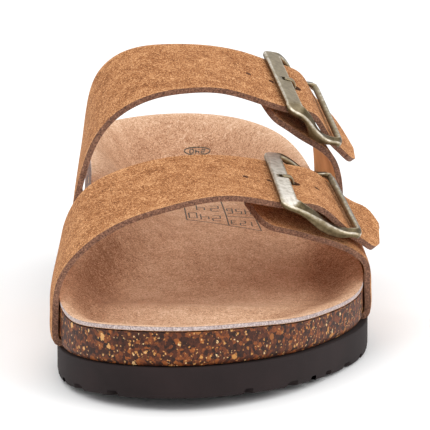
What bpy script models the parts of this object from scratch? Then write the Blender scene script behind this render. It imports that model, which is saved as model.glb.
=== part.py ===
"""Cork footbed sandal for the left foot, European size 36, built as its separate pieces.

An EVA outsole with a wavy tread carries a contoured cork footbed and a thin suede insole. The upper is
two pieces of leather, tucked between cork and outsole: the medial one carries both long straps, the
lateral one both short straps. Each long strap runs through a curved metal buckle that lies on the short
strap, and a prong through one of its punched holes holds it.

Lengths in the tables are millimetres. The toe points to -Y, the lateral side with the buckles is +X, and
the floor is Z = 0.
"""

import math

import bmesh
import bpy
import numpy as np
from mathutils import Matrix, Vector

MM = 0.001
GAP = 0.3

# Sole outline and rim, one row for each station from heel to toe
HEEL_Y = 121.5
TOE_Y = -117.0
HEEL_TIP_X = -1.0
TOE_TIP_X = -12.5
HEEL_TIP_RIM = 45.0
TOE_TIP_RIM = 24.2
RIM_LEAN = 0.08
LEAN_FROM = 11.0
STATIONS = [
    # y, lateral x, medial x, lateral rim z, medial rim z
    (115.0, 17.0, -19.4, 44.4, 44.8),
    (97.0, 29.2, -31.6, 42.8, 44.8),
    (72.0, 34.6, -35.6, 41.4, 44.6),
    (44.0, 37.2, -35.2, 39.3, 43.4),
    (18.0, 39.4, -35.4, 34.8, 40.3),
    (-8.0, 43.0, -37.4, 28.5, 35.4),
    (-32.0, 45.9, -41.6, 22.8, 29.6),
    (-54.0, 42.3, -44.8, 20.1, 25.6),
    (-74.0, 33.4, -45.5, 20.2, 24.0),
    (-92.0, 22.6, -42.2, 21.2, 22.2),
    (-106.0, 9.8, -34.3, 23.0, 23.0),
    (-114.0, -1.7, -24.5, 23.9, 23.9),
]
OUTLINE_POINTS = 72

# Outsole
SPRING_FROM_Y = -40.0
TOE_SPRING = 3.9
SOLE_TOP = [
    # y, height of the outsole's top before the toe spring lifts it
    (121.0, 13.0),
    (60.0, 12.0),
    (0.0, 10.2),
    (-50.0, 9.4),
    (-117.0, 8.8),
]
SOLE_FLARE = 0.6
LATERAL_FLARE = 0.6
SOLE_FOOT_INSET = 0.3
TREAD_PITCH = 10.5
TREAD_GROOVE = 3.8
TREAD_DEPTH = 1.5
TREAD_WAVE = 1.9
TREAD_WAVELENGTH = 22.0
TREAD_HALF_WIDTH = 55.0
TREAD_STEPS = 20

# Footbed surface along the middle, and how wide its walls are
FOOTBED = [
    # y, floor z, lateral wall width, medial wall width
    (121.0, 31.0, 17.0, 17.0),
    (98.0, 29.0, 17.0, 17.0),
    (70.0, 28.2, 17.0, 19.0),
    (40.0, 27.4, 17.0, 27.0),
    (12.0, 24.2, 16.0, 28.0),
    (-15.0, 19.6, 15.0, 22.0),
    (-42.0, 16.2, 13.0, 16.0),
    (-60.0, 16.6, 13.0, 14.0),
    (-80.0, 16.4, 16.0, 14.0),
    (-100.0, 17.6, 22.0, 20.0),
    (-117.0, 18.4, 24.0, 24.0),
]
TOE_BAR_Y = -66.0
TOE_BAR_HEIGHT = 2.0
TOE_BAR_LENGTH = 11.0
TOE_BAR_SLANT = 0.22
PAD_Y = 2.0
PAD_HEIGHT = 2.4
PAD_LENGTH = 20.0
PAD_WIDTH = 16.0
SPINE_HEEL_Y = 90.0
SPINE_TOE_Y = -84.0
INSOLE_RINGS = (0.0, 0.045, 0.12, 0.22, 0.36, 0.54, 0.76, 1.0)
INSOLE_THICK = 1.3
CORK_FOOT_INSET = 0.9

# Straps
STRAP_THICK = 1.8
TUCK_DEPTH = 6.0
RECESS_DEPTH = 7.0
RECESS_HEIGHT = 3.2
STRAP_COLUMNS = 4
HOLE_RADIUS = 0.9
PRONG_HOLE_RADIUS = 1.8
HOLE_PITCH = 8.0

# Strap rows at the sole edge: height above the outsole's top, distance out from the sole's edge
ROOT_ROWS = [
    # name, out, up, spans above this row
    ("tuck end", -TUCK_DEPTH, GAP, 2),
    ("tuck", -0.8, GAP, 2),
    ("turn", 1.4, 1.1, 2),
    ("edge", 2.2, 3.4, 2),
    ("wall", 2.2, 8.5, 2),
]

# The straps' outer faces above the sole, one row for each place along the strap
FRONT_LONG = [
    # name, front edge (x, y, z), rear edge (x, y, z), spans above this row
    ("side", (-47.7, -78.5, 22.5), (-45.0, -38.0, 26.0), 2),
    ("bend", (-45.7, -78.0, 30.0), (-43.3, -38.4, 38.0), 2),
    ("shoulder", (-40.2, -76.4, 37.4), (-38.4, -38.0, 47.2), 3),
    ("top medial", (-29.6, -73.0, 44.4), (-28.3, -35.0, 53.2), 3),
    ("instep", (-15.0, -67.5, 48.6), (-12.6, -29.4, 56.4), 3),
    ("crown", (2.0, -61.0, 50.6), (4.0, -22.8, 55.8), 3),
    ("before buckle", (12.5, -56.6, 49.0), (14.0, -18.8, 54.0), 2),
    ("plate", (21.2, -53.6, 47.0), (21.0, -16.2, 52.2), 3),
    ("pin", (32.0, -49.4, 44.9), (31.0, -12.2, 49.5), 3),
    ("bar", (40.7, -44.7, 37.0), (38.2, -8.6, 43.8), 2),
    ("tail", (46.0, -41.2, 32.9), (45.2, -10.2, 38.8), 2),
    ("corner", (49.3, -37.4, 30.6), (49.6, -13.6, 36.6), 1),
    ("tip", (50.9, -31.0, 30.2), (51.5, -21.0, 34.4), 0),
]
REAR_LONG = [
    ("side", (-42.0, -16.0, 24.0), (-38.3, 29.0, 27.0), 2),
    ("bend", (-40.6, -15.5, 36.0), (-38.1, 27.6, 38.6), 2),
    ("rise", (-37.9, -15.0, 49.0), (-36.7, 26.2, 50.5), 2),
    ("shoulder", (-34.2, -14.7, 59.0), (-35.2, 25.4, 61.8), 3),
    ("top medial", (-27.5, -14.0, 67.1), (-32.0, 24.7, 72.9), 3),
    ("instep", (-17.5, -12.2, 72.2), (-23.2, 25.3, 80.2), 3),
    ("crown medial", (-6.0, -9.6, 74.0), (-9.5, 27.3, 82.0), 3),
    ("crown", (5.5, -6.9, 73.4), (4.0, 29.6, 81.0), 3),
    ("before buckle", (15.6, -4.0, 70.2), (14.4, 31.2, 78.6), 2),
    ("plate", (26.4, -1.0, 66.4), (23.8, 33.7, 75.0), 3),
    ("pin", (34.0, 1.2, 63.9), (31.8, 36.0, 71.3), 3),
    ("bar", (39.0, 4.8, 56.4), (36.6, 37.4, 63.6), 2),
    ("tail", (43.2, 8.2, 51.6), (42.0, 36.6, 57.8), 2),
    ("corner", (46.2, 11.2, 48.6), (46.0, 30.6, 52.2), 1),
    ("tip", (47.5, 15.6, 47.6), (47.7, 24.4, 49.4), 0),
]
FRONT_SHORT = [
    ("side", (47.8, -43.5, 21.5), (46.0, -1.5, 25.0), 2),
    ("bend", (46.6, -44.2, 26.6), (45.4, -2.4, 31.6), 2),
    ("shoulder", (43.7, -45.2, 30.1), (42.2, -3.4, 36.4), 2),
    ("under bar", (38.6, -47.0, 33.2), (37.4, -5.4, 40.2), 3),
    ("under pin", (29.6, -49.8, 36.6), (29.0, -9.4, 43.2), 3),
    ("under plate", (21.0, -52.4, 39.3), (20.4, -14.0, 46.2), 2),
    ("tab", (14.6, -52.6, 42.2), (14.6, -18.6, 47.4), 2),
    ("tab end", (10.9, -43.6, 46.0), (10.9, -29.4, 47.4), 0),
]
REAR_SHORT = [
    ("side", (43.1, 8.0, 28.0), (38.6, 46.0, 30.0), 2),
    ("bend", (43.1, 7.8, 39.0), (38.7, 45.5, 43.0), 2),
    ("shoulder", (40.9, 6.8, 48.7), (37.2, 44.4, 51.8), 2),
    ("under bar", (36.7, 4.7, 53.4), (33.9, 42.9, 58.4), 3),
    ("under pin", (30.5, 2.5, 57.4), (28.2, 39.4, 64.0), 3),
    ("under plate", (25.6, 0.6, 61.0), (22.6, 35.6, 68.0), 2),
    ("tab", (21.6, -0.4, 64.2), (19.6, 31.0, 70.4), 2),
    ("tab end", (18.9, 4.6, 67.8), (17.8, 20.4, 71.0), 0),
]
WEB_COLUMNS = 4
WEB_DIP = 4.0

# Buckles: h is the height above the strap's face
BUCKLE_CLEAR = 0.6
PLATE_LENGTH = 5.4
PLATE_BACK = 3.2
PLATE_SLANT = 0.05
END_SLANT = 0.10
PLATE_PROFILE = (1.2, 1.7)
BUCKLE_PROFILE = [
    # share of the way from plate to end bar, middle height, thickness
    (0.00, 1.2, 1.7),
    (0.12, 0.3, 1.9),
    (0.28, -1.6, 2.6),
    (0.46, -3.3, 3.2),
    (0.62, -3.6, 3.2),
    (0.78, -2.6, 3.0),
    (0.92, -0.2, 2.4),
    (1.00, 1.4, 1.9),
]
END_PROFILE = (1.4, 1.9)
END_DROP = 1.0
PLATE_DROP = 2.2
SIDE_BAR_WIDE = 2.8
END_BAR_LONG = 2.0
CORNER_ROUND = 1.8
BAR_EDGE = 0.4
PIN_SHARE = 0.46
PIN_HEIGHT = -4.0
PIN_RADIUS = 0.7
PLATE_TOP = 2.05
NOTCH_FROM = 2.2
NOTCH_WIDE = 2.6
NOTCH_DEEP = 0.8

# Prongs
PRONG_GAP = 0.3
PRONG_THICK = 0.9
PRONG_WIDE = 1.7
PRONG_HOLE_S = 7.4
PRONG_PATH = [
    # distance from the plate's outer edge and height of the shank's middle, from the pin's loop to the tip
    (10.8, -2.6),
    (9.5, -2.55),
    (8.2, -2.15),
    (7.4, -1.2),
    (7.0, 0.1),
    (6.5, 1.2),
    (5.6, 1.95),
    (4.4, 2.1),
    (3.0, 2.0),
]

COLOURS = {
    # node: (red, green, blue), roughness, metallic
    "outsole": ((0.030, 0.020, 0.018), 0.75, 0.0),
    "cork_footbed": ((0.130, 0.055, 0.025), 0.70, 0.0),
    "suede_insole": ((0.520, 0.330, 0.215), 0.95, 0.0),
    "upper_medial": ((0.480, 0.235, 0.095), 0.95, 0.0),
    "upper_lateral": ((0.480, 0.235, 0.095), 0.95, 0.0),
    "buckle": ((0.300, 0.260, 0.160), 0.35, 1.0),
    "prong": ((0.320, 0.280, 0.180), 0.32, 1.0),
}


def clear_scene():
    for item in list(bpy.data.objects):
        bpy.data.objects.remove(item, do_unlink=True)


def smooth_curve(knots, values, period=None):
    """A cubic curve through the values at the knots. With a period it closes on itself."""
    t = np.asarray(knots, float)
    v = np.asarray(values, float).reshape(len(t), -1)
    if period:
        t = np.append(t, t[0] + period)
        v = np.vstack([v, v[:1]])
    n = len(t)
    h = np.diff(t)
    slope = np.diff(v, axis=0) / h[:, None]
    left = np.zeros((n, n))
    right = np.zeros_like(v)
    for i in range(1, n - 1):
        left[i, i - 1 : i + 2] = h[i - 1], 2 * (h[i - 1] + h[i]), h[i]
        right[i] = 6 * (slope[i] - slope[i - 1])
    left[0, 0] = left[-1, -1] = 1
    if period:
        left[0, -1] = -1
        left[-1, :] = 0
        left[-1, 0], left[-1, 1] = 2 * h[0], h[0]
        left[-1, -1], left[-1, -2] = 2 * h[-1], h[-1]
        right[-1] = 6 * (slope[0] - slope[-1])
    bend = np.linalg.solve(left, right)

    def at(x):
        if period:
            x = t[0] + (x - t[0]) % period
        i = int(np.clip(np.searchsorted(t, x) - 1, 0, n - 2))
        a, b = t[i + 1] - x, x - t[i]
        out = (bend[i] * a**3 + bend[i + 1] * b**3) / (6 * h[i])
        out = out + (v[i] / h[i] - bend[i] * h[i] / 6) * a
        out = out + (v[i + 1] / h[i] - bend[i + 1] * h[i] / 6) * b
        return out if len(out) > 1 else float(out[0])

    return at


def eased(x):
    x = min(max(x, 0.0), 1.0)
    return x * x * (3 - 2 * x)


# The sole's outline runs from the heel round the lateral side to the toe and back
MIDDLE_Y = (HEEL_Y + TOE_Y) / 2
HALF_LENGTH = (HEEL_Y - TOE_Y) / 2


def turn_of(y, side):
    """The angle round the outline of a station y on one side, +1 lateral or -1 medial."""
    angle = math.acos(min(1.0, max(-1.0, (y - MIDDLE_Y) / HALF_LENGTH)))
    return angle if side > 0 else 2 * math.pi - angle


def outline_table():
    rows = [(0.0, HEEL_TIP_X, HEEL_TIP_RIM)]
    rows += [(turn_of(y, 1), lx, lz) for y, lx, mx, lz, mz in STATIONS]
    rows += [(math.pi, TOE_TIP_X, TOE_TIP_RIM)]
    rows += [(turn_of(y, -1), mx, mz) for y, lx, mx, lz, mz in reversed(STATIONS)]
    return rows


TURNS, TURN_X, TURN_RIM = zip(*outline_table())
outline_x = smooth_curve(TURNS, TURN_X, 2 * math.pi)
rim_height = smooth_curve(TURNS, TURN_RIM, 2 * math.pi)
sole_top_flat = smooth_curve(*zip(*sorted(SOLE_TOP)))
footbed_rows = sorted(FOOTBED)
footbed_at = smooth_curve([r[0] for r in footbed_rows], [r[1:] for r in footbed_rows])


def spring(y):
    """How far the toe spring lifts the sole at y."""
    past = min(max((SPRING_FROM_Y - y) / (SPRING_FROM_Y - TOE_Y), 0.0), 1.1)
    return TOE_SPRING * past * past


def sole_top(y):
    return sole_top_flat(y) + spring(y)


def edge_point(turn, out=0.0):
    """The outline's point at this angle, moved outwards, as (x, y)."""
    step = 1e-4
    x, y = outline_x(turn), MIDDLE_Y + HALF_LENGTH * math.cos(turn)
    along = Vector((outline_x(turn + step) - x, MIDDLE_Y + HALF_LENGTH * math.cos(turn + step) - y))
    along.normalize()
    return Vector((x - along.y * out, y + along.x * out))


def side_point(y, side, out, up):
    """A point beside the sole's edge at station y: out from the edge, and up from the outsole's top."""
    p = edge_point(turn_of(y, side), out)
    return Vector((p.x, p.y, sole_top(p.y) + up))


def spine_point(turn):
    """The point of the footbed's middle line that this point of the outline is drawn towards."""
    y = MIDDLE_Y + HALF_LENGTH * math.cos(turn)
    share = (y - TOE_Y) / (HEEL_Y - TOE_Y)
    spine_y = SPINE_TOE_Y + (SPINE_HEEL_Y - SPINE_TOE_Y) * share
    middle = (outline_x(turn_of(spine_y, 1)) + outline_x(turn_of(spine_y, -1))) / 2
    return Vector((middle, spine_y))


def rim_point(turn):
    """The outline's point at the rim: the cork's side leans in a little on its way up."""
    y = MIDDLE_Y + HALF_LENGTH * math.cos(turn)
    return edge_point(turn, -RIM_LEAN * max(0.0, rim_height(turn) - sole_top(y) - LEAN_FROM))


def footbed_height(turn, share):
    """Height of the insole's face, from the rim (share 0) to the middle line (share 1)."""
    edge, spine = rim_point(turn), spine_point(turn)
    p = edge.lerp(spine, share)
    floor, lateral, medial = footbed_at(p.y)
    width = lateral if math.sin(turn) > 0 else medial
    inset = (p - edge).length
    rise = (1 - eased(inset / width)) * (rim_height(turn) - floor)
    bar_y = TOE_BAR_Y - TOE_BAR_SLANT * p.x
    bar = TOE_BAR_HEIGHT * math.exp(-(((p.y - bar_y) / TOE_BAR_LENGTH) ** 2))
    pad = PAD_HEIGHT * math.exp(-(((p.y - PAD_Y) / PAD_LENGTH) ** 2) - (p.x / PAD_WIDTH) ** 2)
    return p, floor + rise + (bar + pad) * eased(inset / width)


def turns(count=OUTLINE_POINTS):
    return [2 * math.pi * i / count for i in range(count)]


def new_object(name, mesh, colour):
    item = bpy.data.objects.new(name, mesh)
    bpy.context.scene.collection.objects.link(item)
    rgb, rough, metal = COLOURS[colour]
    material = bpy.data.materials.get(colour) or bpy.data.materials.new(colour)
    material.use_nodes = True
    shader = material.node_tree.nodes["Principled BSDF"]
    shader.inputs["Base Color"].default_value = (*rgb, 1.0)
    shader.inputs["Roughness"].default_value = rough
    shader.inputs["Metallic"].default_value = metal
    mesh.materials.append(material)
    return item


def finished(name, bm, colour, sharp_deg=35.0):
    """The mesh in metres, closed, facing out and shaded smooth."""
    bmesh.ops.remove_doubles(bm, verts=bm.verts[:], dist=1e-4)
    bmesh.ops.recalc_face_normals(bm, faces=bm.faces[:])
    bmesh.ops.scale(bm, vec=(MM, MM, MM), verts=bm.verts[:])
    mesh = bpy.data.meshes.new(name)
    bm.to_mesh(mesh)
    bm.free()
    mesh.shade_smooth()
    mesh.set_sharp_from_angle(angle=math.radians(sharp_deg))
    return new_object(name, mesh, colour)


def add_ring(bm, points):
    return [bm.verts.new(p) for p in points]


def join_rings(bm, first, second, closed=True):
    """Quads between two rings, or one triangle where they share a point."""
    count = len(first)
    for i in range(count if closed else count - 1):
        j = (i + 1) % count
        bm.faces.new((first[i], first[j], second[j], second[i]))


def cap_across(bm, ring):
    """Closes a ring of the outline with strips from side to side, so that the face may curve along Y."""
    count = len(ring)
    half = count // 2
    bm.faces.new((ring[0], ring[1], ring[-1]))
    for i in range(1, half - 1):
        bm.faces.new((ring[i], ring[i + 1], ring[-i - 1], ring[-i]))
    bm.faces.new((ring[half - 1], ring[half], ring[half + 1]))


def cut(target, cutter, name):
    """Subtracts the cutter from the target for good, and removes the cutter."""
    boolean(target, cutter, name, "DIFFERENCE")


def boolean(target, other, name, operation):
    modifier = target.modifiers.new(name, "BOOLEAN")
    modifier.operation = operation
    modifier.solver = "EXACT"
    modifier.object = other
    graph = bpy.context.evaluated_depsgraph_get()
    mesh = bpy.data.meshes.new_from_object(target.evaluated_get(graph))
    target.modifiers.clear()
    old = target.data
    target.data = mesh
    bpy.data.meshes.remove(old)
    bpy.data.objects.remove(other, do_unlink=True)


def helper(name, bm):
    """A closed cutter or joiner in metres."""
    bmesh.ops.recalc_face_normals(bm, faces=bm.faces[:])
    bmesh.ops.scale(bm, vec=(MM, MM, MM), verts=bm.verts[:])
    mesh = bpy.data.meshes.new(name)
    bm.to_mesh(mesh)
    bm.free()
    item = bpy.data.objects.new(name, mesh)
    bpy.context.scene.collection.objects.link(item)
    item.hide_render = True
    item.display_type = "WIRE"
    return item


# Outsole

def tread_wave(x):
    """A trapezoid wave, which the grooves follow across the sole."""
    phase = (x / TREAD_WAVELENGTH) % 1.0
    tent = 4 * abs(phase - 0.5) - 1
    return TREAD_WAVE * min(1.0, max(-1.0, 1.6 * tent))


def tread_cutter():
    """All the grooves, as one set of wavy ribbons that reach past the sole's edge."""
    bm = bmesh.new()
    count = int((HEEL_Y - TOE_Y) / TREAD_PITCH)
    first = MIDDLE_Y - TREAD_PITCH * (count - 1) / 2
    xs = [-TREAD_HALF_WIDTH + 2 * TREAD_HALF_WIDTH * i / TREAD_STEPS for i in range(TREAD_STEPS + 1)]
    for k in range(count):
        y = first + TREAD_PITCH * k
        rings = []
        for x in xs:
            near, far = y - TREAD_GROOVE / 2 + tread_wave(x), y + TREAD_GROOVE / 2 + tread_wave(x)
            corners = [(x, near, -1), (x, far, -1), (x, far - 0.4, TREAD_DEPTH), (x, near + 0.4, TREAD_DEPTH)]
            rings.append(add_ring(bm, corners))
        for one, two in zip(rings, rings[1:]):
            join_rings(bm, one, two)
        bm.faces.new(rings[0])
        bm.faces.new(rings[-1])
    return helper("tread_cutter", bm)


def build_outsole():
    bm = bmesh.new()
    top, middle, foot = [], [], []
    for turn in turns():
        flare = SOLE_FLARE + LATERAL_FLARE * math.sin(turn)
        p = edge_point(turn, flare)
        low = edge_point(turn, flare - SOLE_FOOT_INSET)
        top.append((p.x, p.y, sole_top_flat(p.y)))
        middle.append((p.x, p.y, TREAD_DEPTH + 0.5))
        foot.append((low.x, low.y, 0.0))
    rings = [add_ring(bm, ring) for ring in (top, middle, foot)]
    cap_across(bm, rings[0])
    join_rings(bm, rings[0], rings[1])
    join_rings(bm, rings[1], rings[2])
    bm.faces.new(rings[2])
    outsole = finished("outsole", bm, "outsole")
    cut(outsole, tread_cutter(), "tread")
    bm = bmesh.new()
    bm.from_mesh(outsole.data)
    bmesh.ops.triangulate(bm, faces=[f for f in bm.faces if len(f.verts) > 4])
    for v in bm.verts:
        v.co.z += spring(v.co.y / MM) * MM
    bm.to_mesh(outsole.data)
    bm.free()
    return outsole


# Footbed

def footbed_rings(bm, drop):
    """The footbed's face from rim to middle line, lowered by drop."""
    rings = []
    for share in INSOLE_RINGS:
        ring = []
        for turn in turns():
            p, z = footbed_height(turn, share)
            ring.append((p.x, p.y, z - drop))
        rings.append(add_ring(bm, ring))
    for one, two in zip(rings, rings[1:]):
        join_rings(bm, one, two)
    return rings[0]


def recess_cutter(side, y_front, y_rear):
    """The step under the cork's edge that takes the tucked margin of the upper."""
    bm = bmesh.new()
    rings = []
    steps = 12
    for i in range(steps + 1):
        y = y_front + (y_rear - y_front) * i / steps
        corners = [(-RECESS_DEPTH, -2.0), (4.0, -2.0), (4.0, RECESS_HEIGHT), (-RECESS_DEPTH, RECESS_HEIGHT)]
        rings.append(add_ring(bm, [side_point(y, side, out, up) for out, up in corners]))
    for one, two in zip(rings, rings[1:]):
        join_rings(bm, one, two)
    bm.faces.new(rings[0])
    bm.faces.new(rings[-1])
    return helper("recess_cutter", bm)


def build_cork():
    bm = bmesh.new()
    rim = footbed_rings(bm, INSOLE_THICK + GAP)
    flank, foot = [], []
    for turn in turns():
        p = edge_point(turn)
        low = edge_point(turn, -CORK_FOOT_INSET)
        flank.append((p.x, p.y, sole_top(p.y) + GAP + 1.6))
        foot.append((low.x, low.y, sole_top(low.y) + GAP))
    flank, foot = add_ring(bm, flank), add_ring(bm, foot)
    join_rings(bm, rim, flank)
    join_rings(bm, flank, foot)
    cap_across(bm, foot)
    cork = finished("cork_footbed", bm, "cork_footbed")
    cut(cork, recess_cutter(-1, FRONT_LONG[0][1][1] - 2.0, REAR_LONG[0][2][1] + 2.0), "medial recess")
    cut(cork, recess_cutter(1, FRONT_SHORT[0][1][1] - 2.0, REAR_SHORT[0][2][1] + 2.0), "lateral recess")
    return cork


def build_insole():
    bm = bmesh.new()
    top = footbed_rings(bm, 0.0)
    under = footbed_rings(bm, INSOLE_THICK)
    join_rings(bm, top, under)
    return finished("suede_insole", bm, "suede_insole")


# Straps

class Strap:
    """A strap's outer face as a function of place along it (u) and across it (0 rear, 1 front)."""

    def __init__(self, side, rows):
        self.side = side
        self.rows = rows
        self.y_front, self.y_rear = rows[0][1][1], rows[0][2][1]
        self.names = [r[0] for r in ROOT_ROWS] + [r[0] for r in rows]
        self.spans = [r[3] for r in ROOT_ROWS] + [r[3] for r in rows]
        middle = [self.knot(i, 0.5) for i in range(len(self.names))]
        lengths = [(b - a).length for a, b in zip(middle, middle[1:])]
        self.knots = [0.0] + list(np.cumsum(lengths))
        self.columns = {}

    def knot(self, i, across):
        """The point of row i, from the root rows beside the sole or from the strap's table."""
        if i < len(ROOT_ROWS):
            name, out, up, spans = ROOT_ROWS[i]
            y = self.y_rear + (self.y_front - self.y_rear) * across
            return side_point(y, self.side, out, up)
        name, front, rear, spans = self.rows[i - len(ROOT_ROWS)]
        p = Vector(rear).lerp(Vector(front), across)
        if i == len(ROOT_ROWS):
            beside = side_point(p.y, self.side, STRAP_THICK + GAP, 0)
            p.x, p.y = beside.x, beside.y
        return p

    def u_of(self, name):
        return self.knots[self.names.index(name)]

    def at(self, u, across):
        key = round(across, 6)
        if key not in self.columns:
            points = [self.knot(i, across) for i in range(len(self.names))]
            self.columns[key] = smooth_curve(self.knots, [tuple(p) for p in points])
        return Vector(self.columns[key](u))

    def frame(self, u, across):
        """(point, along, across, out) at a place on the outer face."""
        du, dv = 0.05, 0.01
        u_low, u_high = max(self.knots[0], u - du), min(self.knots[-1], u + du)
        v_low, v_high = max(0.0, across - dv), min(1.0, across + dv)
        along = (self.at(u_high, across) - self.at(u_low, across)).normalized()
        front = (self.at(u, v_high) - self.at(u, v_low)).normalized()
        out = along.cross(front) * self.side
        out.normalize()
        return self.at(u, across), along, front, out

    def stops(self):
        """The places along the strap where its mesh has an edge across."""
        found = []
        for i, spans in enumerate(self.spans[:-1]):
            a, b = self.knots[i], self.knots[i + 1]
            found += [a + (b - a) * k / spans for k in range(spans)]
        return found + [self.knots[-1]]


def strap_grid(bm, strap, columns):
    """Vertices of the outer and inner face: grid[row][column] = (outer, inner)."""
    grid = []
    for u in strap.stops():
        row = []
        for c in range(columns + 1):
            p, along, front, out = strap.frame(u, c / columns)
            row.append((bm.verts.new(p), bm.verts.new(p - out * STRAP_THICK)))
        grid.append(row)
    return grid


def skin(bm, a, b, c, d):
    """A patch of leather between four (outer, inner) corners: its outer and inner quads."""
    bm.faces.new((a[0], b[0], c[0], d[0]))
    bm.faces.new((a[1], d[1], c[1], b[1]))


def wall(bm, a, b):
    """The cut edge between two (outer, inner) corners."""
    bm.faces.new((a[0], b[0], b[1], a[1]))


def web_grid(bm, strap_front, strap_rear, front_grid, rear_grid):
    """The leather that joins two straps beside the sole: it shares their edge columns up to the web's top."""
    rows = [i for i, u in enumerate(strap_front.stops()) if u <= strap_front.u_of("side") + 1e-6]
    low = sum(strap_front.spans[: strap_front.names.index("edge")])
    grid = []
    for i in rows:
        front, rear = front_grid[i][0], rear_grid[i][-1]
        row = [rear]
        for c in range(1, WEB_COLUMNS):
            share = c / WEB_COLUMNS
            pair = []
            for k in (0, 1):
                p, q = rear[k].co, front[k].co
                near = nearest_out(p, strap_front.side), nearest_out(q, strap_front.side)
                y = p.y + (q.y - p.y) * share
                edge = edge_point(turn_of(y, strap_front.side), near[0] + (near[1] - near[0]) * share)
                dip = WEB_DIP * math.sin(math.pi * share) * eased((i - low) / (rows[-1] - low))
                z = p.z + (q.z - p.z) * share - dip
                pair.append(bm.verts.new((edge.x, edge.y, z)))
            row.append(tuple(pair))
        row.append(front)
        grid.append(row)
    return grid





def nearest_out(p, side):
    """How far a point lies out from the sole's edge, measured along the edge's own normal."""
    y = p.y
    for _ in range(12):
        edge = edge_point(turn_of(y, side))
        normal = edge_point(turn_of(y, side), 1.0) - edge
        away = Vector((p.x, p.y)) - edge
        y += (away - normal * away.dot(normal)).y
    return away.dot(normal)


def build_upper(name, front, rear):
    """One piece of leather with two straps, joined by a web beside the sole."""
    bm = bmesh.new()
    columns = STRAP_COLUMNS
    grids = [strap_grid(bm, front, columns), strap_grid(bm, rear, columns)]
    web = web_grid(bm, front, rear, grids[0], grids[1])
    top = len(web) - 1
    for number, grid in enumerate(grids):
        for i in range(len(grid) - 1):
            for c in range(columns):
                skin(bm, grid[i][c], grid[i][c + 1], grid[i + 1][c + 1], grid[i + 1][c])
            for c in (0, columns):
                shared = i < top and c == (0 if number == 0 else columns)
                if not shared:
                    wall(bm, grid[i][c], grid[i + 1][c])
        for c in range(columns):
            wall(bm, grid[0][c], grid[0][c + 1])
            wall(bm, grid[-1][c], grid[-1][c + 1])
    for i in range(top):
        for c in range(WEB_COLUMNS):
            skin(bm, web[i][c], web[i][c + 1], web[i + 1][c + 1], web[i + 1][c])
    for c in range(WEB_COLUMNS):
        wall(bm, web[0][c], web[0][c + 1])
        wall(bm, web[top][c], web[top][c + 1])
    return finished(name, bm, name)


def punch_holes(upper, strap):
    """The row of punched holes along a long strap's middle. The prong passes through the widest one."""
    prong_u = strap.u_of("plate") - PLATE_BACK + PRONG_HOLE_S
    for k in (-2, -1, 0, 1):
        radius = HOLE_RADIUS if k else PRONG_HOLE_RADIUS
        p, along, front, out = strap.frame(prong_u + k * HOLE_PITCH, 0.5)
        bm = bmesh.new()
        bmesh.ops.create_cone(
            bm, cap_ends=True, segments=10, radius1=radius, radius2=radius, depth=3 * STRAP_THICK
        )
        bmesh.ops.transform(bm, matrix=frame_matrix(p, along, front, out), verts=bm.verts[:])
        cut(upper, helper("punch", bm), "punched hole")


def frame_matrix(p, along, front, out):
    """Carries local x, y, z to the strap's along, across and out directions at p."""
    across = out.cross(along).normalized()
    turn = Matrix((along, across, out)).transposed().to_4x4()
    return Matrix.Translation(p) @ turn


# Buckles

class Seat:
    """Where a buckle sits on its long strap: maps (s, t, h) to a point.

    s runs along the strap from the plate's outer edge, t runs across it from the middle towards its front
    edge, and h runs out from its face.
    """

    def __init__(self, strap):
        self.strap = strap
        self.start = strap.u_of("plate") - PLATE_BACK
        self.length = strap.u_of("bar") + END_BAR_LONG / 2 - self.start
        self.near, self.far = PLATE_LENGTH, self.length - END_BAR_LONG
        self.pin_s = self.near + (self.far - self.near) * PIN_SHARE
        self.plate = self.across("plate", PLATE_SLANT)
        self.bar = self.across("bar", END_SLANT)
        self.half_width = max(self.plate.length, self.bar.length) / 2
        self.line = self.middle_line()
        rows = [(0.0, *PLATE_PROFILE), (self.near / 2, *PLATE_PROFILE)]
        rows += [(self.near + (self.far - self.near) * r[0], *r[1:]) for r in BUCKLE_PROFILE]
        rows += [(self.length, *END_PROFILE)]
        self.profile = smooth_curve([r[0] for r in rows], [r[1:] for r in rows])

    def across(self, row, slant):
        """The strap's width at a row, from its rear to its front edge, turned a little towards its tip."""
        u = self.strap.u_of(row)
        width = self.strap.at(u, 1.0) - self.strap.at(u, 0.0)
        return width + self.strap.frame(u, 0.5)[1] * (width.length * slant)

    def middle_line(self):
        """A curve along the strap's middle that is straight under the plate and under the end bar."""
        knots, points = [], []
        places = (("plate", PLATE_BACK), ("bar", END_BAR_LONG / 2))
        for row, reach in places:
            u = self.strap.u_of(row)
            p, along, front, out = self.strap.frame(u, 0.5)
            for step in (-reach, 0.0, reach):
                knots.append(u + step - self.start)
                points.append(tuple(p + along * step))
        knots.insert(3, self.pin_s)
        points.insert(3, tuple(self.strap.at(self.start + self.pin_s, 0.5)))
        return smooth_curve(knots, points)

    def at(self, s, t, h):
        share = eased((s - PLATE_LENGTH / 2) / (self.length - PLATE_LENGTH / 2 - END_BAR_LONG / 2))
        front = self.plate.normalized().lerp(self.bar.normalized(), share).normalized()
        centre = Vector(self.line(s))
        along = (Vector(self.line(s + 0.05)) - Vector(self.line(s - 0.05))).normalized()
        out = along.cross(front) * self.strap.side
        out.normalize()
        return centre + front * t + out * h


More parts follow.
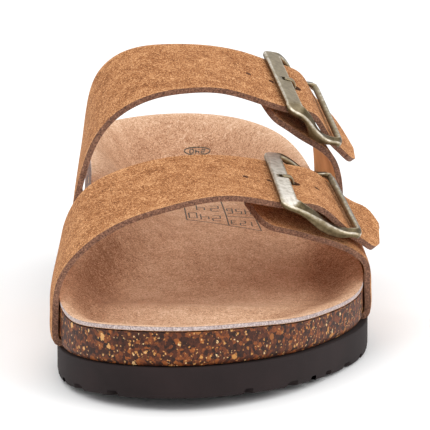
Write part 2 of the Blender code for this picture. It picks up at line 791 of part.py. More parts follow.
def frame_stations(seat):
    """Pairs ((s, t) inner, (s, t) outer) all the way round the frame, with rounded corners."""
    near, far, end = seat.near, seat.far, seat.length
    inner_t = seat.half_width + BUCKLE_CLEAR
    outer_t = inner_t + SIDE_BAR_WIDE
    found = []
    for t in (-0.6, -0.12, 0.12, 0.6):
        found.append(((near, t * inner_t), (0.0, t * inner_t)))
    found += corner(near, inner_t, 0.0, outer_t, -1, 1)
    for k in range(1, 7):
        s = near + (far - near) * k / 7
        found.append(((s, inner_t), (s, outer_t)))
    found += reversed(corner(far, inner_t, end, outer_t, 1, 1))
    for t in (0.5, 0.0, -0.5):
        found.append(((far, t * inner_t), (end, t * inner_t)))
    found += corner(far, -inner_t, end, -outer_t, 1, -1)
    for k in range(6, 0, -1):
        s = near + (far - near) * k / 7
        found.append(((s, -inner_t), (s, -outer_t)))
    found += reversed(corner(near, -inner_t, 0.0, -outer_t, -1, -1))
    return found


def corner(inner_s, inner_t, outer_s, outer_t, way_s, way_t):
    """Stations round one corner, from its plate or end bar towards its side bar."""
    found = []
    small = 0.5
    for k in range(4):
        angle = math.pi / 2 * k / 3
        a, b = math.cos(angle), math.sin(angle)
        inside = (inner_s - way_s * small * (1 - a), inner_t - way_t * small * (1 - b))
        outside = (outer_s - way_s * CORNER_ROUND * (1 - a), outer_t - way_t * CORNER_ROUND * (1 - b))
        found.append((inside, outside))
    return found


def build_buckle(name, seat):
    """A curved frame: a flat plate, two sagging side bars, a tall end bar, and a thin pin between the sides."""
    bm = bmesh.new()
    rings = []
    for inner, outer in frame_stations(seat):
        rings.append(add_ring(bm, bar_section(seat, inner, outer)))
    for i in range(len(rings)):
        join_rings(bm, rings[i - 1], rings[i])
    buckle = finished(name, bm, "buckle")
    reach = seat.half_width + BUCKLE_CLEAR + SIDE_BAR_WIDE / 2
    pin = rod(seat.at(seat.pin_s, -reach, PIN_HEIGHT), seat.at(seat.pin_s, reach, PIN_HEIGHT), PIN_RADIUS)
    boolean(buckle, pin, "pin", "UNION")
    cut(buckle, notch_cutter(seat), "notch")
    return buckle


def bar_section(seat, inner, outer):
    """The eight points of the frame's section between an inner and an outer point: its corners are cut off."""
    inset = BAR_EDGE / math.dist(inner, outer)
    places = [
        # share of the way out, side of the bar's middle, how far the point sinks towards it
        (inset, -1, 0.0), (0.0, -1, BAR_EDGE), (0.0, 1, BAR_EDGE), (inset, 1, 0.0),
        (1 - inset, 1, 0.0), (1.0, 1, BAR_EDGE), (1.0, -1, BAR_EDGE), (1 - inset, -1, 0.0),
    ]
    points = []
    for share, level, sink in places:
        s = inner[0] + (outer[0] - inner[0]) * share
        t = inner[1] + (outer[1] - inner[1]) * share
        height, thick = seat.profile(s)
        beside = eased((abs(t) - seat.half_width) / (BUCKLE_CLEAR + SIDE_BAR_WIDE))
        height -= END_DROP * beside * eased((s - seat.far + 6.0) / 6.0)
        leaving = eased((s + 2.5) / (seat.near + 2.5)) * (1 - eased((s - seat.near) / 12.0))
        if t > 0:
            height -= PLATE_DROP * beside * leaving
        points.append(seat.at(s, t, height + level * (thick / 2 - sink)))
    return points


def notch_cutter(seat):
    """The notch in the plate's inner edge that the prong's tip rests in."""
    bm = bmesh.new()
    rings = []
    for s in (NOTCH_FROM, PLATE_LENGTH + 1.5):
        low, high = PLATE_TOP - NOTCH_DEEP, PLATE_TOP + 2.0
        corners = [(-1, low), (1, low), (1, high), (-1, high)]
        rings.append(add_ring(bm, [seat.at(s, t * NOTCH_WIDE / 2, h) for t, h in corners]))
    join_rings(bm, rings[0], rings[1])
    bm.faces.new(rings[0])
    bm.faces.new(rings[1])
    return helper("notch_cutter", bm)


def rod(start, end, radius):
    """A round rod from start to end, as a joiner or cutter."""
    bm = bmesh.new()
    run = end - start
    bmesh.ops.create_cone(
        bm, cap_ends=True, segments=12, radius1=radius, radius2=radius, depth=run.length
    )
    turn = run.to_track_quat("Z", "Y").to_matrix().to_4x4()
    bmesh.ops.transform(bm, matrix=Matrix.Translation((start + end) / 2) @ turn, verts=bm.verts[:])
    return helper("rod", bm)


def prong_line(seat):
    """The points of the prong's middle line: round the pin, then along its shank to the tip."""
    pin_s = seat.pin_s
    pin = seat.at(pin_s, 0.0, PIN_HEIGHT)
    out = (seat.at(pin_s, 0.0, PIN_HEIGHT + 1.0) - pin).normalized()
    along = (seat.at(pin_s + 0.5, 0.0, PIN_HEIGHT) - seat.at(pin_s - 0.5, 0.0, PIN_HEIGHT)).normalized()
    radius = PIN_RADIUS + PRONG_GAP + PRONG_THICK / 2
    line = []
    for k in range(11):
        angle = math.radians(-205 + 295 * k / 10)
        line.append(pin + along * (radius * math.cos(angle)) + out * (radius * math.sin(angle)))
    return line + [seat.at(s, 0.0, h) for s, h in PRONG_PATH]


def build_prong(name, seat):
    """A flat prong bent round the pin, which comes up through its hole and rests on the plate."""
    line = prong_line(seat)
    bm = bmesh.new()
    rings = []
    across = (seat.at(seat.pin_s, 1.0, 0.0) - seat.at(seat.pin_s, 0.0, 0.0)).normalized()
    for i, p in enumerate(line):
        travel = (line[min(i + 1, len(line) - 1)] - line[max(i - 1, 0)]).normalized()
        off = travel.cross(across).normalized() * PRONG_THICK / 2
        wide = PRONG_WIDE / 2 * (0.72 if i == len(line) - 1 else 1.0)
        corners = [(1, -1), (1, 1), (-1, 1), (-1, -1)]
        rings.append(add_ring(bm, [p + off * a + across * (b * wide) for a, b in corners]))
    for one, two in zip(rings, rings[1:]):
        join_rings(bm, one, two)
    bm.faces.new(rings[0])
    bm.faces.new(rings[-1])
    return finished(name, bm, "prong")


def centre_on_origin():
    """Moves every mesh so that the middle of the object's footprint is at the origin."""
    items = [item for item in bpy.data.objects if item.type == "MESH"]
    corners = [v.co for item in items for v in item.data.vertices]
    low = Vector([min(c[k] for c in corners) for k in range(3)])
    high = Vector([max(c[k] for c in corners) for k in range(3)])
    shift = Vector((-(low.x + high.x) / 2, -(low.y + high.y) / 2, -low.z))
    for item in items:
        item.data.transform(Matrix.Translation(shift))


def build_all():
    clear_scene()
    build_outsole()
    build_cork()
    build_insole()
    straps = {
        "front_long": Strap(-1, FRONT_LONG),
        "rear_long": Strap(-1, REAR_LONG),
        "front_short": Strap(1, FRONT_SHORT),
        "rear_short": Strap(1, REAR_SHORT),
    }
    medial = build_upper("upper_medial", straps["front_long"], straps["rear_long"])
    build_upper("upper_lateral", straps["front_short"], straps["rear_short"])
    for place in ("front", "rear"):
        strap = straps[place + "_long"]
        seat = Seat(strap)
        punch_holes(medial, strap)
        build_buckle("buckle_" + place, seat)
        build_prong("prong_" + place, seat)
    centre_on_origin()


build_all()
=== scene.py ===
"""The looks of the cork footbed sandal: its suede straps, napped footbed, cork midsole, foam outsole and
antique metal buckles, each built on the frame's own sizes.

Lengths in the tables are millimetres, before the frame's centring; world coordinates are metres.
"""

import math

import bmesh
import bpy
import numpy as np
from mathutils import Matrix, Vector
from mathutils.bvhtree import BVHTree

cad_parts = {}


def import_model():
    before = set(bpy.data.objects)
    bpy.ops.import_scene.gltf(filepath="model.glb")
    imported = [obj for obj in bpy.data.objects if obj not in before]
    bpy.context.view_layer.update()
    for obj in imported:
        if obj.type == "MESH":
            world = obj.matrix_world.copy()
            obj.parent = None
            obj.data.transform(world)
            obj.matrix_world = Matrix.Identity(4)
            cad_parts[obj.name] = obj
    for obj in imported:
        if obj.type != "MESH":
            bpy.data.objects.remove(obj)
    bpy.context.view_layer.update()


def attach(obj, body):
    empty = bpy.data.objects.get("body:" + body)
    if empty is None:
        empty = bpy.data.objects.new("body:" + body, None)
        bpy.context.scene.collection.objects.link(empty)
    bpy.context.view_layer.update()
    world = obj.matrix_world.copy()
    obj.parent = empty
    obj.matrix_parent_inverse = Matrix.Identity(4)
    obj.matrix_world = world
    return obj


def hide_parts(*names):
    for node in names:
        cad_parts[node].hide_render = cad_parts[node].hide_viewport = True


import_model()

MM = 0.001
MERGE_MM = 0.0005
GAP = 0.3
CENTRING = Vector((-2.154, -2.25, 0.0))

# Sole outline and rim, one row for each station from heel to toe
HEEL_Y = 121.5
TOE_Y = -117.0
HEEL_TIP_X = -1.0
TOE_TIP_X = -12.5
HEEL_TIP_RIM = 45.0
TOE_TIP_RIM = 24.2
RIM_LEAN = 0.08
LEAN_FROM = 11.0
STATIONS = [
    # y, lateral x, medial x, lateral rim z, medial rim z
    (115.0, 17.0, -19.4, 44.4, 44.8),
    (97.0, 29.2, -31.6, 42.8, 44.8),
    (72.0, 34.6, -35.6, 41.4, 44.6),
    (44.0, 37.2, -35.2, 39.3, 43.4),
    (18.0, 39.4, -35.4, 34.8, 40.3),
    (-8.0, 43.0, -37.4, 28.5, 35.4),
    (-32.0, 45.9, -41.6, 22.8, 29.6),
    (-54.0, 42.3, -44.8, 20.1, 25.6),
    (-74.0, 33.4, -45.5, 20.2, 24.0),
    (-92.0, 22.6, -42.2, 21.2, 22.2),
    (-106.0, 9.8, -34.3, 23.0, 23.0),
    (-114.0, -1.7, -24.5, 23.9, 23.9),
]

# Outsole
SPRING_FROM_Y = -40.0
TOE_SPRING = 3.9
SOLE_TOP = [
    # y, height of the outsole's top before the toe spring lifts it
    (121.0, 13.0),
    (60.0, 12.0),
    (0.0, 10.2),
    (-50.0, 9.4),
    (-117.0, 8.8),
]
SOLE_FLARE = 0.6
LATERAL_FLARE = 0.6
SOLE_FOOT_INSET = 0.3
TREAD_PITCH = 10.5
TREAD_GROOVE = 3.8
TREAD_DEPTH = 1.5
TREAD_WAVE = 1.9
TREAD_WAVELENGTH = 22.0
TREAD_HALF_WIDTH = 55.0

# Footbed surface along the middle, and how wide its walls are
FOOTBED = [
    # y, floor z, lateral wall width, medial wall width
    (121.0, 31.0, 17.0, 17.0),
    (98.0, 29.0, 17.0, 17.0),
    (70.0, 28.2, 17.0, 19.0),
    (40.0, 27.4, 17.0, 27.0),
    (12.0, 24.2, 16.0, 28.0),
    (-15.0, 19.6, 15.0, 22.0),
    (-42.0, 16.2, 13.0, 16.0),
    (-60.0, 16.6, 13.0, 14.0),
    (-80.0, 16.4, 16.0, 14.0),
    (-100.0, 17.6, 22.0, 20.0),
    (-117.0, 18.4, 24.0, 24.0),
]
TOE_BAR_Y = -66.0
TOE_BAR_HEIGHT = 2.0
TOE_BAR_LENGTH = 11.0
TOE_BAR_SLANT = 0.22
PAD_Y = 2.0
PAD_HEIGHT = 2.4
PAD_LENGTH = 20.0
PAD_WIDTH = 16.0
SPINE_HEEL_Y = 90.0
SPINE_TOE_Y = -84.0
INSOLE_THICK = 1.3
CORK_FOOT_INSET = 0.9

# Straps
STRAP_THICK = 1.8
TUCK_DEPTH = 6.0
RECESS_DEPTH = 7.0
RECESS_HEIGHT = 3.2
HOLE_RADIUS = 0.9
PRONG_HOLE_RADIUS = 1.8
HOLE_PITCH = 8.0
PUNCH_ABOVE = 3.0
PUNCH_BELOW = 4.5

# Strap rows beside the sole: how far out from its edge, and how far up from the outsole's top
ROOT_ROWS = [
    # name, out, up
    ("tuck end", -TUCK_DEPTH, GAP),
    ("tuck", -0.8, GAP),
    ("turn", 1.4, 1.1),
    ("edge", 2.2, 3.4),
    ("wall", 2.2, 8.5),
]
ROOT_NAMES = [row[0] for row in ROOT_ROWS]

# The straps' outer faces above the sole, one row for each place along the strap
FRONT_LONG = [
    # name, front edge (x, y, z), rear edge (x, y, z)
    ("side", (-47.7, -78.5, 22.5), (-45.0, -38.0, 26.0)),
    ("bend", (-45.7, -78.0, 30.0), (-43.3, -38.4, 38.0)),
    ("shoulder", (-40.2, -76.4, 37.4), (-38.4, -38.0, 47.2)),
    ("top medial", (-29.6, -73.0, 44.4), (-28.3, -35.0, 53.2)),
    ("instep", (-15.0, -67.5, 48.6), (-12.6, -29.4, 56.4)),
    ("crown", (2.0, -61.0, 50.6), (4.0, -22.8, 55.8)),
    ("before buckle", (12.5, -56.6, 49.0), (14.0, -18.8, 54.0)),
    ("plate", (21.2, -53.6, 47.0), (21.0, -16.2, 52.2)),
    ("pin", (32.0, -49.4, 44.9), (31.0, -12.2, 49.5)),
    ("bar", (40.7, -44.7, 37.0), (38.2, -8.6, 43.8)),
    ("tail", (46.0, -41.2, 32.9), (45.2, -10.2, 38.8)),
    ("corner", (49.3, -37.4, 30.6), (49.6, -13.6, 36.6)),
    ("tip", (50.9, -31.0, 30.2), (51.5, -21.0, 34.4)),
]
REAR_LONG = [
    ("side", (-42.0, -16.0, 24.0), (-38.3, 29.0, 27.0)),
    ("bend", (-40.6, -15.5, 36.0), (-38.1, 27.6, 38.6)),
    ("rise", (-37.9, -15.0, 49.0), (-36.7, 26.2, 50.5)),
    ("shoulder", (-34.2, -14.7, 59.0), (-35.2, 25.4, 61.8)),
    ("top medial", (-27.5, -14.0, 67.1), (-32.0, 24.7, 72.9)),
    ("instep", (-17.5, -12.2, 72.2), (-23.2, 25.3, 80.2)),
    ("crown medial", (-6.0, -9.6, 74.0), (-9.5, 27.3, 82.0)),
    ("crown", (5.5, -6.9, 73.4), (4.0, 29.6, 81.0)),
    ("before buckle", (15.6, -4.0, 70.2), (14.4, 31.2, 78.6)),
    ("plate", (26.4, -1.0, 66.4), (23.8, 33.7, 75.0)),
    ("pin", (34.0, 1.2, 63.9), (31.8, 36.0, 71.3)),
    ("bar", (39.0, 4.8, 56.4), (36.6, 37.4, 63.6)),
    ("tail", (43.2, 8.2, 51.6), (42.0, 36.6, 57.8)),
    ("corner", (46.2, 11.2, 48.6), (46.0, 30.6, 52.2)),
    ("tip", (47.5, 15.6, 47.6), (47.7, 24.4, 49.4)),
]
FRONT_SHORT = [
    ("side", (47.8, -43.5, 21.5), (46.0, -1.5, 25.0)),
    ("bend", (46.6, -44.2, 26.6), (45.4, -2.4, 31.6)),
    ("shoulder", (43.7, -45.2, 30.1), (42.2, -3.4, 36.4)),
    ("under bar", (38.6, -47.0, 33.2), (37.4, -5.4, 40.2)),
    ("under pin", (29.6, -49.8, 36.6), (29.0, -9.4, 43.2)),
    ("under plate", (21.0, -52.4, 39.3), (20.4, -14.0, 46.2)),
    ("tab", (14.6, -52.6, 42.2), (14.6, -18.6, 47.4)),
    ("tab end", (10.9, -43.6, 46.0), (10.9, -29.4, 47.4)),
]
REAR_SHORT = [
    ("side", (43.1, 8.0, 28.0), (38.6, 46.0, 30.0)),
    ("bend", (43.1, 7.8, 39.0), (38.7, 45.5, 43.0)),
    ("shoulder", (40.9, 6.8, 48.7), (37.2, 44.4, 51.8)),
    ("under bar", (36.7, 4.7, 53.4), (33.9, 42.9, 58.4)),
    ("under pin", (30.5, 2.5, 57.4), (28.2, 39.4, 64.0)),
    ("under plate", (25.6, 0.6, 61.0), (22.6, 35.6, 68.0)),
    ("tab", (21.6, -0.4, 64.2), (19.6, 31.0, 70.4)),
    ("tab end", (18.9, 4.6, 67.8), (17.8, 20.4, 71.0)),
]
# How far the leather between two straps dips beside the sole
WEB_DIP = 4.0

# Buckles: h is the height above the strap's face
BUCKLE_CLEAR = 0.6
PLATE_LENGTH = 5.4
PLATE_BACK = 3.2
PLATE_SLANT = 0.05
END_SLANT = 0.10
PLATE_PROFILE = (1.2, 1.7)
BUCKLE_PROFILE = [
    # share of the way from plate to end bar, middle height, thickness
    (0.00, 1.2, 1.7),
    (0.12, 0.3, 1.9),
    (0.28, -1.6, 2.6),
    (0.46, -3.3, 3.2),
    (0.62, -3.6, 3.2),
    (0.78, -2.6, 3.0),
    (0.92, -0.2, 2.4),
    (1.00, 1.4, 1.9),
]
END_PROFILE = (1.4, 1.9)
END_DROP = 1.0
PLATE_DROP = 2.2
END_DROP_RUN = 6.0
PLATE_DROP_RUN = 12.0
PLATE_DROP_BACK = 2.5
SIDE_BAR_WIDE = 2.8
END_BAR_LONG = 2.0
CORNER_ROUND = 1.8
INNER_ROUND = 0.5
BAR_EDGE = 0.4
PIN_SHARE = 0.46
PIN_HEIGHT = -4.0
PIN_RADIUS = 0.7
PLATE_TOP = 2.05
NOTCH_FROM = 2.2
NOTCH_WIDE = 2.6
NOTCH_DEEP = 0.8

# Prongs
PRONG_GAP = 0.3
PRONG_THICK = 0.9
PRONG_WIDE = 1.7
PRONG_HOLE_S = 7.4
PRONG_PATH = [
    # distance from the plate's outer edge and height of the shank's middle, from the pin's loop to the tip
    (10.8, -2.6),
    (9.5, -2.55),
    (8.2, -2.15),
    (7.4, -1.2),
    (7.0, 0.1),
    (6.5, 1.2),
    (5.6, 1.95),
    (4.4, 2.1),
    (3.0, 2.0),
]


def smooth_curve(knots, values, period=None):
    """A cubic curve through the values at the knots. With a period it closes on itself."""
    t = np.asarray(knots, float)
    v = np.asarray(values, float).reshape(len(t), -1)
    if period:
        t = np.append(t, t[0] + period)
        v = np.vstack([v, v[:1]])
    n = len(t)
    h = np.diff(t)
    slope = np.diff(v, axis=0) / h[:, None]
    left = np.zeros((n, n))
    right = np.zeros_like(v)
    for i in range(1, n - 1):
        left[i, i - 1 : i + 2] = h[i - 1], 2 * (h[i - 1] + h[i]), h[i]
        right[i] = 6 * (slope[i] - slope[i - 1])
    left[0, 0] = left[-1, -1] = 1
    if period:
        left[0, -1] = -1
        left[-1, :] = 0
        left[-1, 0], left[-1, 1] = 2 * h[0], h[0]
        left[-1, -1], left[-1, -2] = 2 * h[-1], h[-1]
        right[-1] = 6 * (slope[0] - slope[-1])
    bend = np.linalg.solve(left, right)

    def at(x):
        if period:
            x = t[0] + (x - t[0]) % period
        i = int(np.clip(np.searchsorted(t, x) - 1, 0, n - 2))
        a, b = t[i + 1] - x, x - t[i]
        out = (bend[i] * a**3 + bend[i + 1] * b**3) / (6 * h[i])
        out = out + (v[i] / h[i] - bend[i] * h[i] / 6) * a
        out = out + (v[i + 1] / h[i] - bend[i + 1] * h[i] / 6) * b
        return out if len(out) > 1 else float(out[0])

    return at


def eased(x):
    """A smooth step from 0 at x = 0 to 1 at x = 1."""
    x = min(max(x, 0.0), 1.0)
    return x * x * (3 - 2 * x)


# The sole's outline runs from the heel round the lateral side to the toe and back
MIDDLE_Y = (HEEL_Y + TOE_Y) / 2
HALF_LENGTH = (HEEL_Y - TOE_Y) / 2


def turn_of(y, side):
    """The angle round the outline of a station y on one side, +1 lateral or -1 medial."""
    angle = math.acos(min(1.0, max(-1.0, (y - MIDDLE_Y) / HALF_LENGTH)))
    return angle if side > 0 else 2 * math.pi - angle


def outline_table():
    """The outline's knots, from the heel round the lateral side and back: angle, x and rim height."""
    rows = [(0.0, HEEL_TIP_X, HEEL_TIP_RIM)]
    rows += [(turn_of(y, 1), lx, lz) for y, lx, mx, lz, mz in STATIONS]
    rows += [(math.pi, TOE_TIP_X, TOE_TIP_RIM)]
    rows += [(turn_of(y, -1), mx, mz) for y, lx, mx, lz, mz in reversed(STATIONS)]
    return rows


TURNS, TURN_X, TURN_RIM = zip(*outline_table())
outline_x = smooth_curve(TURNS, TURN_X, 2 * math.pi)
rim_height = smooth_curve(TURNS, TURN_RIM, 2 * math.pi)
sole_top_flat = smooth_curve(*zip(*sorted(SOLE_TOP)))
footbed_rows = sorted(FOOTBED)
footbed_at = smooth_curve([r[0] for r in footbed_rows], [r[1:] for r in footbed_rows])


def spring(y):
    """How far the toe spring lifts the sole at y."""
    past = min(max((SPRING_FROM_Y - y) / (SPRING_FROM_Y - TOE_Y), 0.0), 1.1)
    return TOE_SPRING * past * past


def sole_top(y):
    """Height of the outsole's top, with the toe spring."""
    return sole_top_flat(y) + spring(y)


def edge_point(turn, out=0.0):
    """The outline's point at this angle, moved outwards, as (x, y)."""
    step = 1e-4
    x, y = outline_x(turn), MIDDLE_Y + HALF_LENGTH * math.cos(turn)
    along = Vector((outline_x(turn + step) - x, MIDDLE_Y + HALF_LENGTH * math.cos(turn + step) - y))
    along.normalize()
    return Vector((x - along.y * out, y + along.x * out))


def side_point(y, side, out, up):
    """A point beside the sole's edge at station y: out from the edge, and up from the outsole's top."""
    p = edge_point(turn_of(y, side), out)
    return Vector((p.x, p.y, sole_top(p.y) + up))


def spine_point(turn):
    """The point of the footbed's middle line that this point of the outline is drawn towards."""
    y = MIDDLE_Y + HALF_LENGTH * math.cos(turn)
    share = (y - TOE_Y) / (HEEL_Y - TOE_Y)
    spine_y = SPINE_TOE_Y + (SPINE_HEEL_Y - SPINE_TOE_Y) * share
    middle = (outline_x(turn_of(spine_y, 1)) + outline_x(turn_of(spine_y, -1))) / 2
    return Vector((middle, spine_y))


def rim_point(turn):
    """The outline's point at the rim: the cork's side leans in a little on its way up."""
    y = MIDDLE_Y + HALF_LENGTH * math.cos(turn)
    return edge_point(turn, -RIM_LEAN * max(0.0, rim_height(turn) - sole_top(y) - LEAN_FROM))


def footbed_height(turn, share):
    """Height of the insole's face, from the rim (share 0) to the middle line (share 1)."""
    edge, spine = rim_point(turn), spine_point(turn)
    p = edge.lerp(spine, share)
    floor, lateral, medial = footbed_at(p.y)
    width = lateral if math.sin(turn) > 0 else medial
    inset = (p - edge).length
    rise = (1 - eased(inset / width)) * (rim_height(turn) - floor)
    bar_y = TOE_BAR_Y - TOE_BAR_SLANT * p.x
    bar = TOE_BAR_HEIGHT * math.exp(-(((p.y - bar_y) / TOE_BAR_LENGTH) ** 2))
    pad = PAD_HEIGHT * math.exp(-(((p.y - PAD_Y) / PAD_LENGTH) ** 2) - (p.x / PAD_WIDTH) ** 2)
    return p, floor + rise + (bar + pad) * eased(inset / width)


# Straps


class Strap:
    """A strap's outer face as a function of place along it (u) and across it (0 rear, 1 front)."""

    def __init__(self, side, rows):
        self.side = side
        self.rows = rows
        self.y_front, self.y_rear = rows[0][1][1], rows[0][2][1]
        self.names = ROOT_NAMES + [r[0] for r in rows]
        middle = [self.knot(i, 0.5) for i in range(len(self.names))]
        lengths = [(b - a).length for a, b in zip(middle, middle[1:])]
        self.knots = [0.0] + list(np.cumsum(lengths))
        self.columns = {}

    def knot(self, i, across):
        """The point of row i, from the root rows beside the sole or from the strap's table."""
        if i < len(ROOT_ROWS):
            name, out, up = ROOT_ROWS[i]
            y = self.y_rear + (self.y_front - self.y_rear) * across
            return side_point(y, self.side, out, up)
        name, front, rear = self.rows[i - len(ROOT_ROWS)]
        p = Vector(rear).lerp(Vector(front), across)
        if i == len(ROOT_ROWS):
            beside = side_point(p.y, self.side, STRAP_THICK + GAP, 0)
            p.x, p.y = beside.x, beside.y
        return p

    def u_of(self, name):
        """How far along the strap the row of this name lies."""
        return self.knots[self.names.index(name)]

    def at(self, u, across):
        """The point of the outer face at this place."""
        key = round(across, 6)
        if key not in self.columns:
            points = [self.knot(i, across) for i in range(len(self.names))]
            self.columns[key] = smooth_curve(self.knots, [tuple(p) for p in points])
        return Vector(self.columns[key](u))

    def frame(self, u, across):
        """(point, along, across, out) at a place on the outer face."""
        du, dv = 0.05, 0.01
        u_low, u_high = max(self.knots[0], u - du), min(self.knots[-1], u + du)
        v_low, v_high = max(0.0, across - dv), min(1.0, across + dv)
        along = (self.at(u_high, across) - self.at(u_low, across)).normalized()
        front = (self.at(u, v_high) - self.at(u, v_low)).normalized()
        out = along.cross(front) * self.side
        out.normalize()
        return self.at(u, across), along, front, out


# Where the buckles sit


class Seat:
    """Where a buckle sits on its long strap: maps (s, t, h) to a point.

    s runs along the strap from the plate's outer edge, t runs across it from the middle towards its front
    edge, and h runs out from its face.
    """

    def __init__(self, strap):
        self.strap = strap
        self.start = strap.u_of("plate") - PLATE_BACK
        self.length = strap.u_of("bar") + END_BAR_LONG / 2 - self.start
        self.near, self.far = PLATE_LENGTH, self.length - END_BAR_LONG
        self.pin_s = self.near + (self.far - self.near) * PIN_SHARE
        self.plate = self.across("plate", PLATE_SLANT)
        self.bar = self.across("bar", END_SLANT)
        self.half_width = max(self.plate.length, self.bar.length) / 2
        self.line = self.middle_line()
        rows = [(0.0, *PLATE_PROFILE), (self.near / 2, *PLATE_PROFILE)]
        rows += [(self.near + (self.far - self.near) * r[0], *r[1:]) for r in BUCKLE_PROFILE]
        rows += [(self.length, *END_PROFILE)]
        self.profile = smooth_curve([r[0] for r in rows], [r[1:] for r in rows])

    def across(self, row, slant):
        """The strap's width at a row, from its rear to its front edge, turned a little towards its tip."""
        u = self.strap.u_of(row)
        width = self.strap.at(u, 1.0) - self.strap.at(u, 0.0)
        return width + self.strap.frame(u, 0.5)[1] * (width.length * slant)

    def middle_line(self):
        """A curve along the strap's middle that is straight under the plate and under the end bar."""
        knots, points = [], []
        places = (("plate", PLATE_BACK), ("bar", END_BAR_LONG / 2))
        for row, reach in places:
            u = self.strap.u_of(row)
            p, along, front, out = self.strap.frame(u, 0.5)
            for step in (-reach, 0.0, reach):
                knots.append(u + step - self.start)
                points.append(tuple(p + along * step))
        knots.insert(3, self.pin_s)
        points.insert(3, tuple(self.strap.at(self.start + self.pin_s, 0.5)))
        return smooth_curve(knots, points)

    def at(self, s, t, h):
        """The point at this place."""
        share = eased((s - PLATE_LENGTH / 2) / (self.length - PLATE_LENGTH / 2 - END_BAR_LONG / 2))
        front = self.plate.normalized().lerp(self.bar.normalized(), share).normalized()
        centre = Vector(self.line(s))
        along = (Vector(self.line(s + 0.05)) - Vector(self.line(s - 0.05))).normalized()
        out = along.cross(front) * self.strap.side
        out.normalize()
        return centre + front * t + out * h


def frame_stations(seat):
    """Pairs ((s, t) inner, (s, t) outer) all the way round the frame, with rounded corners."""
    near, far, end = seat.near, seat.far, seat.length
    inner_t = seat.half_width + BUCKLE_CLEAR
    outer_t = inner_t + SIDE_BAR_WIDE
    found = []
    for t in (-0.6, -0.12, 0.12, 0.6):
        found.append(((near, t * inner_t), (0.0, t * inner_t)))
    found += corner(near, inner_t, 0.0, outer_t, -1, 1)
    for k in range(1, 7):
        s = near + (far - near) * k / 7
        found.append(((s, inner_t), (s, outer_t)))
    found += reversed(corner(far, inner_t, end, outer_t, 1, 1))
    for t in (0.5, 0.0, -0.5):
        found.append(((far, t * inner_t), (end, t * inner_t)))
    found += corner(far, -inner_t, end, -outer_t, 1, -1)
    for k in range(6, 0, -1):
        s = near + (far - near) * k / 7
        found.append(((s, -inner_t), (s, -outer_t)))
    found += reversed(corner(near, -inner_t, 0.0, -outer_t, -1, -1))
    return found


def corner(inner_s, inner_t, outer_s, outer_t, way_s, way_t):
    """Stations round one corner, from its plate or end bar towards its side bar."""
    found = []
    for k in range(4):
        angle = math.pi / 2 * k / 3
        a, b = math.cos(angle), math.sin(angle)
        inside = (inner_s - way_s * INNER_ROUND * (1 - a), inner_t - way_t * INNER_ROUND * (1 - b))
        outside = (outer_s - way_s * CORNER_ROUND * (1 - a), outer_t - way_t * CORNER_ROUND * (1 - b))
        found.append((inside, outside))
    return found


def bar_section(seat, inner, outer):
    """The frame's section from an inner to an outer point: eight points, as its corners are cut off."""
    inset = BAR_EDGE / math.dist(inner, outer)
    places = [
        # share of the way out, side of the bar's middle, how far the point sinks towards it
        (inset, -1, 0.0), (0.0, -1, BAR_EDGE), (0.0, 1, BAR_EDGE), (inset, 1, 0.0),
        (1 - inset, 1, 0.0), (1.0, 1, BAR_EDGE), (1.0, -1, BAR_EDGE), (1 - inset, -1, 0.0),
    ]
    points = []
    for share, level, sink in places:
        s = inner[0] + (outer[0] - inner[0]) * share
        t = inner[1] + (outer[1] - inner[1]) * share
        height, thick = seat.profile(s)
        beside = eased((abs(t) - seat.half_width) / (BUCKLE_CLEAR + SIDE_BAR_WIDE))
        height -= END_DROP * beside * eased((s - seat.far + END_DROP_RUN) / END_DROP_RUN)
        if t > 0:
            coming = eased((s + PLATE_DROP_BACK) / (seat.near + PLATE_DROP_BACK))
            leaving = 1 - eased((s - seat.near) / PLATE_DROP_RUN)
            height -= PLATE_DROP * beside * (coming * leaving)
        points.append(seat.at(s, t, height + level * (thick / 2 - sink)))
    return points


def prong_line(seat):
    """The points of the prong's middle line: round the pin, then along its shank to the tip."""
    pin_s = seat.pin_s
    pin = seat.at(pin_s, 0.0, PIN_HEIGHT)
    out = (seat.at(pin_s, 0.0, PIN_HEIGHT + 1.0) - pin).normalized()
    along = (seat.at(pin_s + 0.5, 0.0, PIN_HEIGHT) - seat.at(pin_s - 0.5, 0.0, PIN_HEIGHT)).normalized()
    radius = PIN_RADIUS + PRONG_GAP + PRONG_THICK / 2
    line = []
    for k in range(11):
        angle = math.radians(-205 + 295 * k / 10)
        line.append(pin + along * (radius * math.cos(angle)) + out * (radius * math.sin(angle)))
    return line + [seat.at(s, 0.0, h) for s, h in PRONG_PATH]


# Meshes


def world(p):
    """A point of the tables, in millimetres, as the frame's own metres."""
    return (Vector(p) + CENTRING) * MM


def lofted(bm, rows, bands=None, marks=None):
    """A grid laid on rows of points. bands gives each strip its material, marks each corner its mark:
    worn places, painted shade and painted highlight.
    """
    across, along = len(rows[0]) - 1, len(rows) - 1
    wear_and_light = bm.verts.layers.float.get("wear_and_light") or bm.verts.layers.float.new("wear_and_light")
    made = bmesh.ops.create_grid(bm, x_segments=across, y_segments=along, size=0.5)["verts"]
    places = {}
    for v in made:
        i, j = round((v.co.x + 0.5) * across), round((v.co.y + 0.5) * along)
        places[v] = (i, j)
    for v, (i, j) in places.items():
        v.co = world(rows[j][i])
        if marks is not None:
            v[wear_and_light] = marks[j][i]
    faces = {f for v in made for f in v.link_faces}
    if bands is not None:
        for f in faces:
            f.material_index = bands[min(places[v][1] for v in f.verts)]
    return places


def closed_rows(rows):
    """Each row, with its first entry once more at its end."""
    return [list(row) + [row[0]] for row in rows]


def tidy_mesh(bm):
    """Merges the seams and poles of a lofted mesh and points its faces outwards."""
    bmesh.ops.remove_doubles(bm, verts=bm.verts[:], dist=MERGE_MM * MM)
    bmesh.ops.dissolve_degenerate(bm, dist=1e-7, edges=bm.edges[:])
    bmesh.ops.recalc_face_normals(bm, faces=bm.faces[:])


